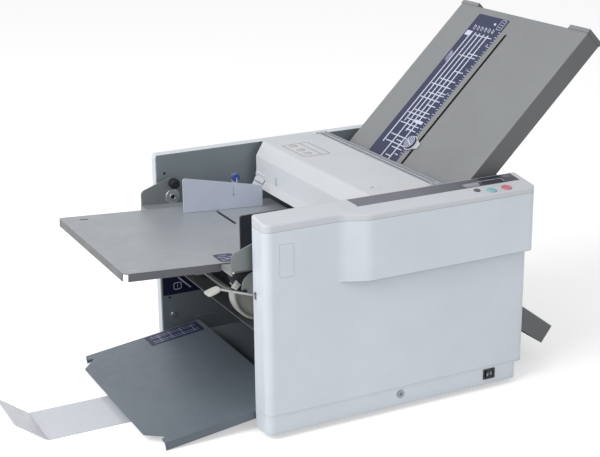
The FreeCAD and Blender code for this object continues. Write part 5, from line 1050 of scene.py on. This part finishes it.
def seen_directly(tree):
    """1 for rays that the eye, a reflection or glass sees, 0 for light."""
    path = tree.nodes.new("ShaderNodeLightPath")
    total = path.outputs["Is Camera Ray"]
    for name in ("Is Glossy Ray", "Is Transmission Ray"):
        most = tree.nodes.new("ShaderNodeMath")
        most.operation = "MAXIMUM"
        tree.links.new(total, most.inputs[0])
        tree.links.new(path.outputs[name], most.inputs[1])
        total = most.outputs[0]
    return total


def floor_material():
    """Pale paint that keeps the object's shadow, lifted to white where it is seen."""
    material = bpy.data.materials.new("floor_pale")
    material.use_nodes = True
    tree = material.node_tree
    tree.nodes.clear()
    output = tree.nodes.new("ShaderNodeOutputMaterial")
    diffuse = tree.nodes.new("ShaderNodeBsdfDiffuse")
    diffuse.inputs["Color"].default_value = (FLOOR_ALBEDO, FLOOR_ALBEDO, FLOOR_ALBEDO, 1)
    glow = tree.nodes.new("ShaderNodeEmission")
    lift = tree.nodes.new("ShaderNodeMath")
    lift.operation = "MULTIPLY"
    lift.inputs[1].default_value = FLOOR_LIFT
    tree.links.new(seen_directly(tree), lift.inputs[0])
    tree.links.new(lift.outputs[0], glow.inputs["Strength"])
    both = tree.nodes.new("ShaderNodeAddShader")
    tree.links.new(diffuse.outputs[0], both.inputs[0])
    tree.links.new(glow.outputs[0], both.inputs[1])
    tree.links.new(both.outputs[0], output.inputs["Surface"])
    return material


def floor():
    mesh = bpy.data.meshes.new("floor")
    corner = FLOOR_HALF
    mesh.from_pydata([(-corner, -corner, 0), (corner, -corner, 0), (corner, corner, 0), (-corner, corner, 0)],
                     [], [(0, 1, 2, 3)])
    plane = bpy.data.objects.new("floor", mesh)
    bpy.context.scene.collection.objects.link(plane)
    mesh.materials.append(floor_material())


def world():
    """White where it is seen, and a softer light on the object."""
    studio = bpy.data.worlds.new("studio")
    bpy.context.scene.world = studio
    studio.use_nodes = True
    tree = studio.node_tree
    background = tree.nodes["Background"]
    strength = tree.nodes.new("ShaderNodeMapRange")
    tree.links.new(seen_directly(tree), strength.inputs["Value"])
    strength.inputs["To Min"].default_value = WORLD_LIGHT
    strength.inputs["To Max"].default_value = 1.0
    tree.links.new(strength.outputs[0], background.inputs["Strength"])
    background.inputs["Color"].default_value = (*WHITE, 1)


floor()
world()
lamp("key", *KEY_LAMP)
lamp("front", *FRONT_LAMP)


# Camera: its place in metres, its angles, and its focal length as a share of the image's width
FOCAL_SHARE = 1355.9 / 600
SENSOR, CLIP_END = 36.0, 60
EYE = (-0.9019, -1.8102, 0.9077)
AZIMUTH, ELEVATION, ROLL = math.radians(-27.04), math.radians(18.23), math.radians(-0.60)


def eye():
    ahead = Vector((-math.sin(AZIMUTH) * math.cos(ELEVATION), math.cos(AZIMUTH) * math.cos(ELEVATION),
                    -math.sin(ELEVATION)))
    side = Vector((math.cos(AZIMUTH), math.sin(AZIMUTH), 0))
    up = side.cross(ahead)
    right = side * math.cos(ROLL) + up * math.sin(ROLL)
    top = up * math.cos(ROLL) - side * math.sin(ROLL)
    data = bpy.data.cameras.new("camera")
    data.sensor_width = SENSOR
    data.lens = SENSOR * FOCAL_SHARE
    data.clip_end = CLIP_END
    camera = bpy.data.objects.new("camera", data)
    bpy.context.scene.collection.objects.link(camera)
    turned = Matrix((right, top, -ahead)).transposed().to_4x4()
    camera.matrix_world = Matrix.Translation(Vector(EYE)) @ turned
    bpy.context.scene.camera = camera


eye()
bpy.context.scene.view_settings.view_transform = "Standard"
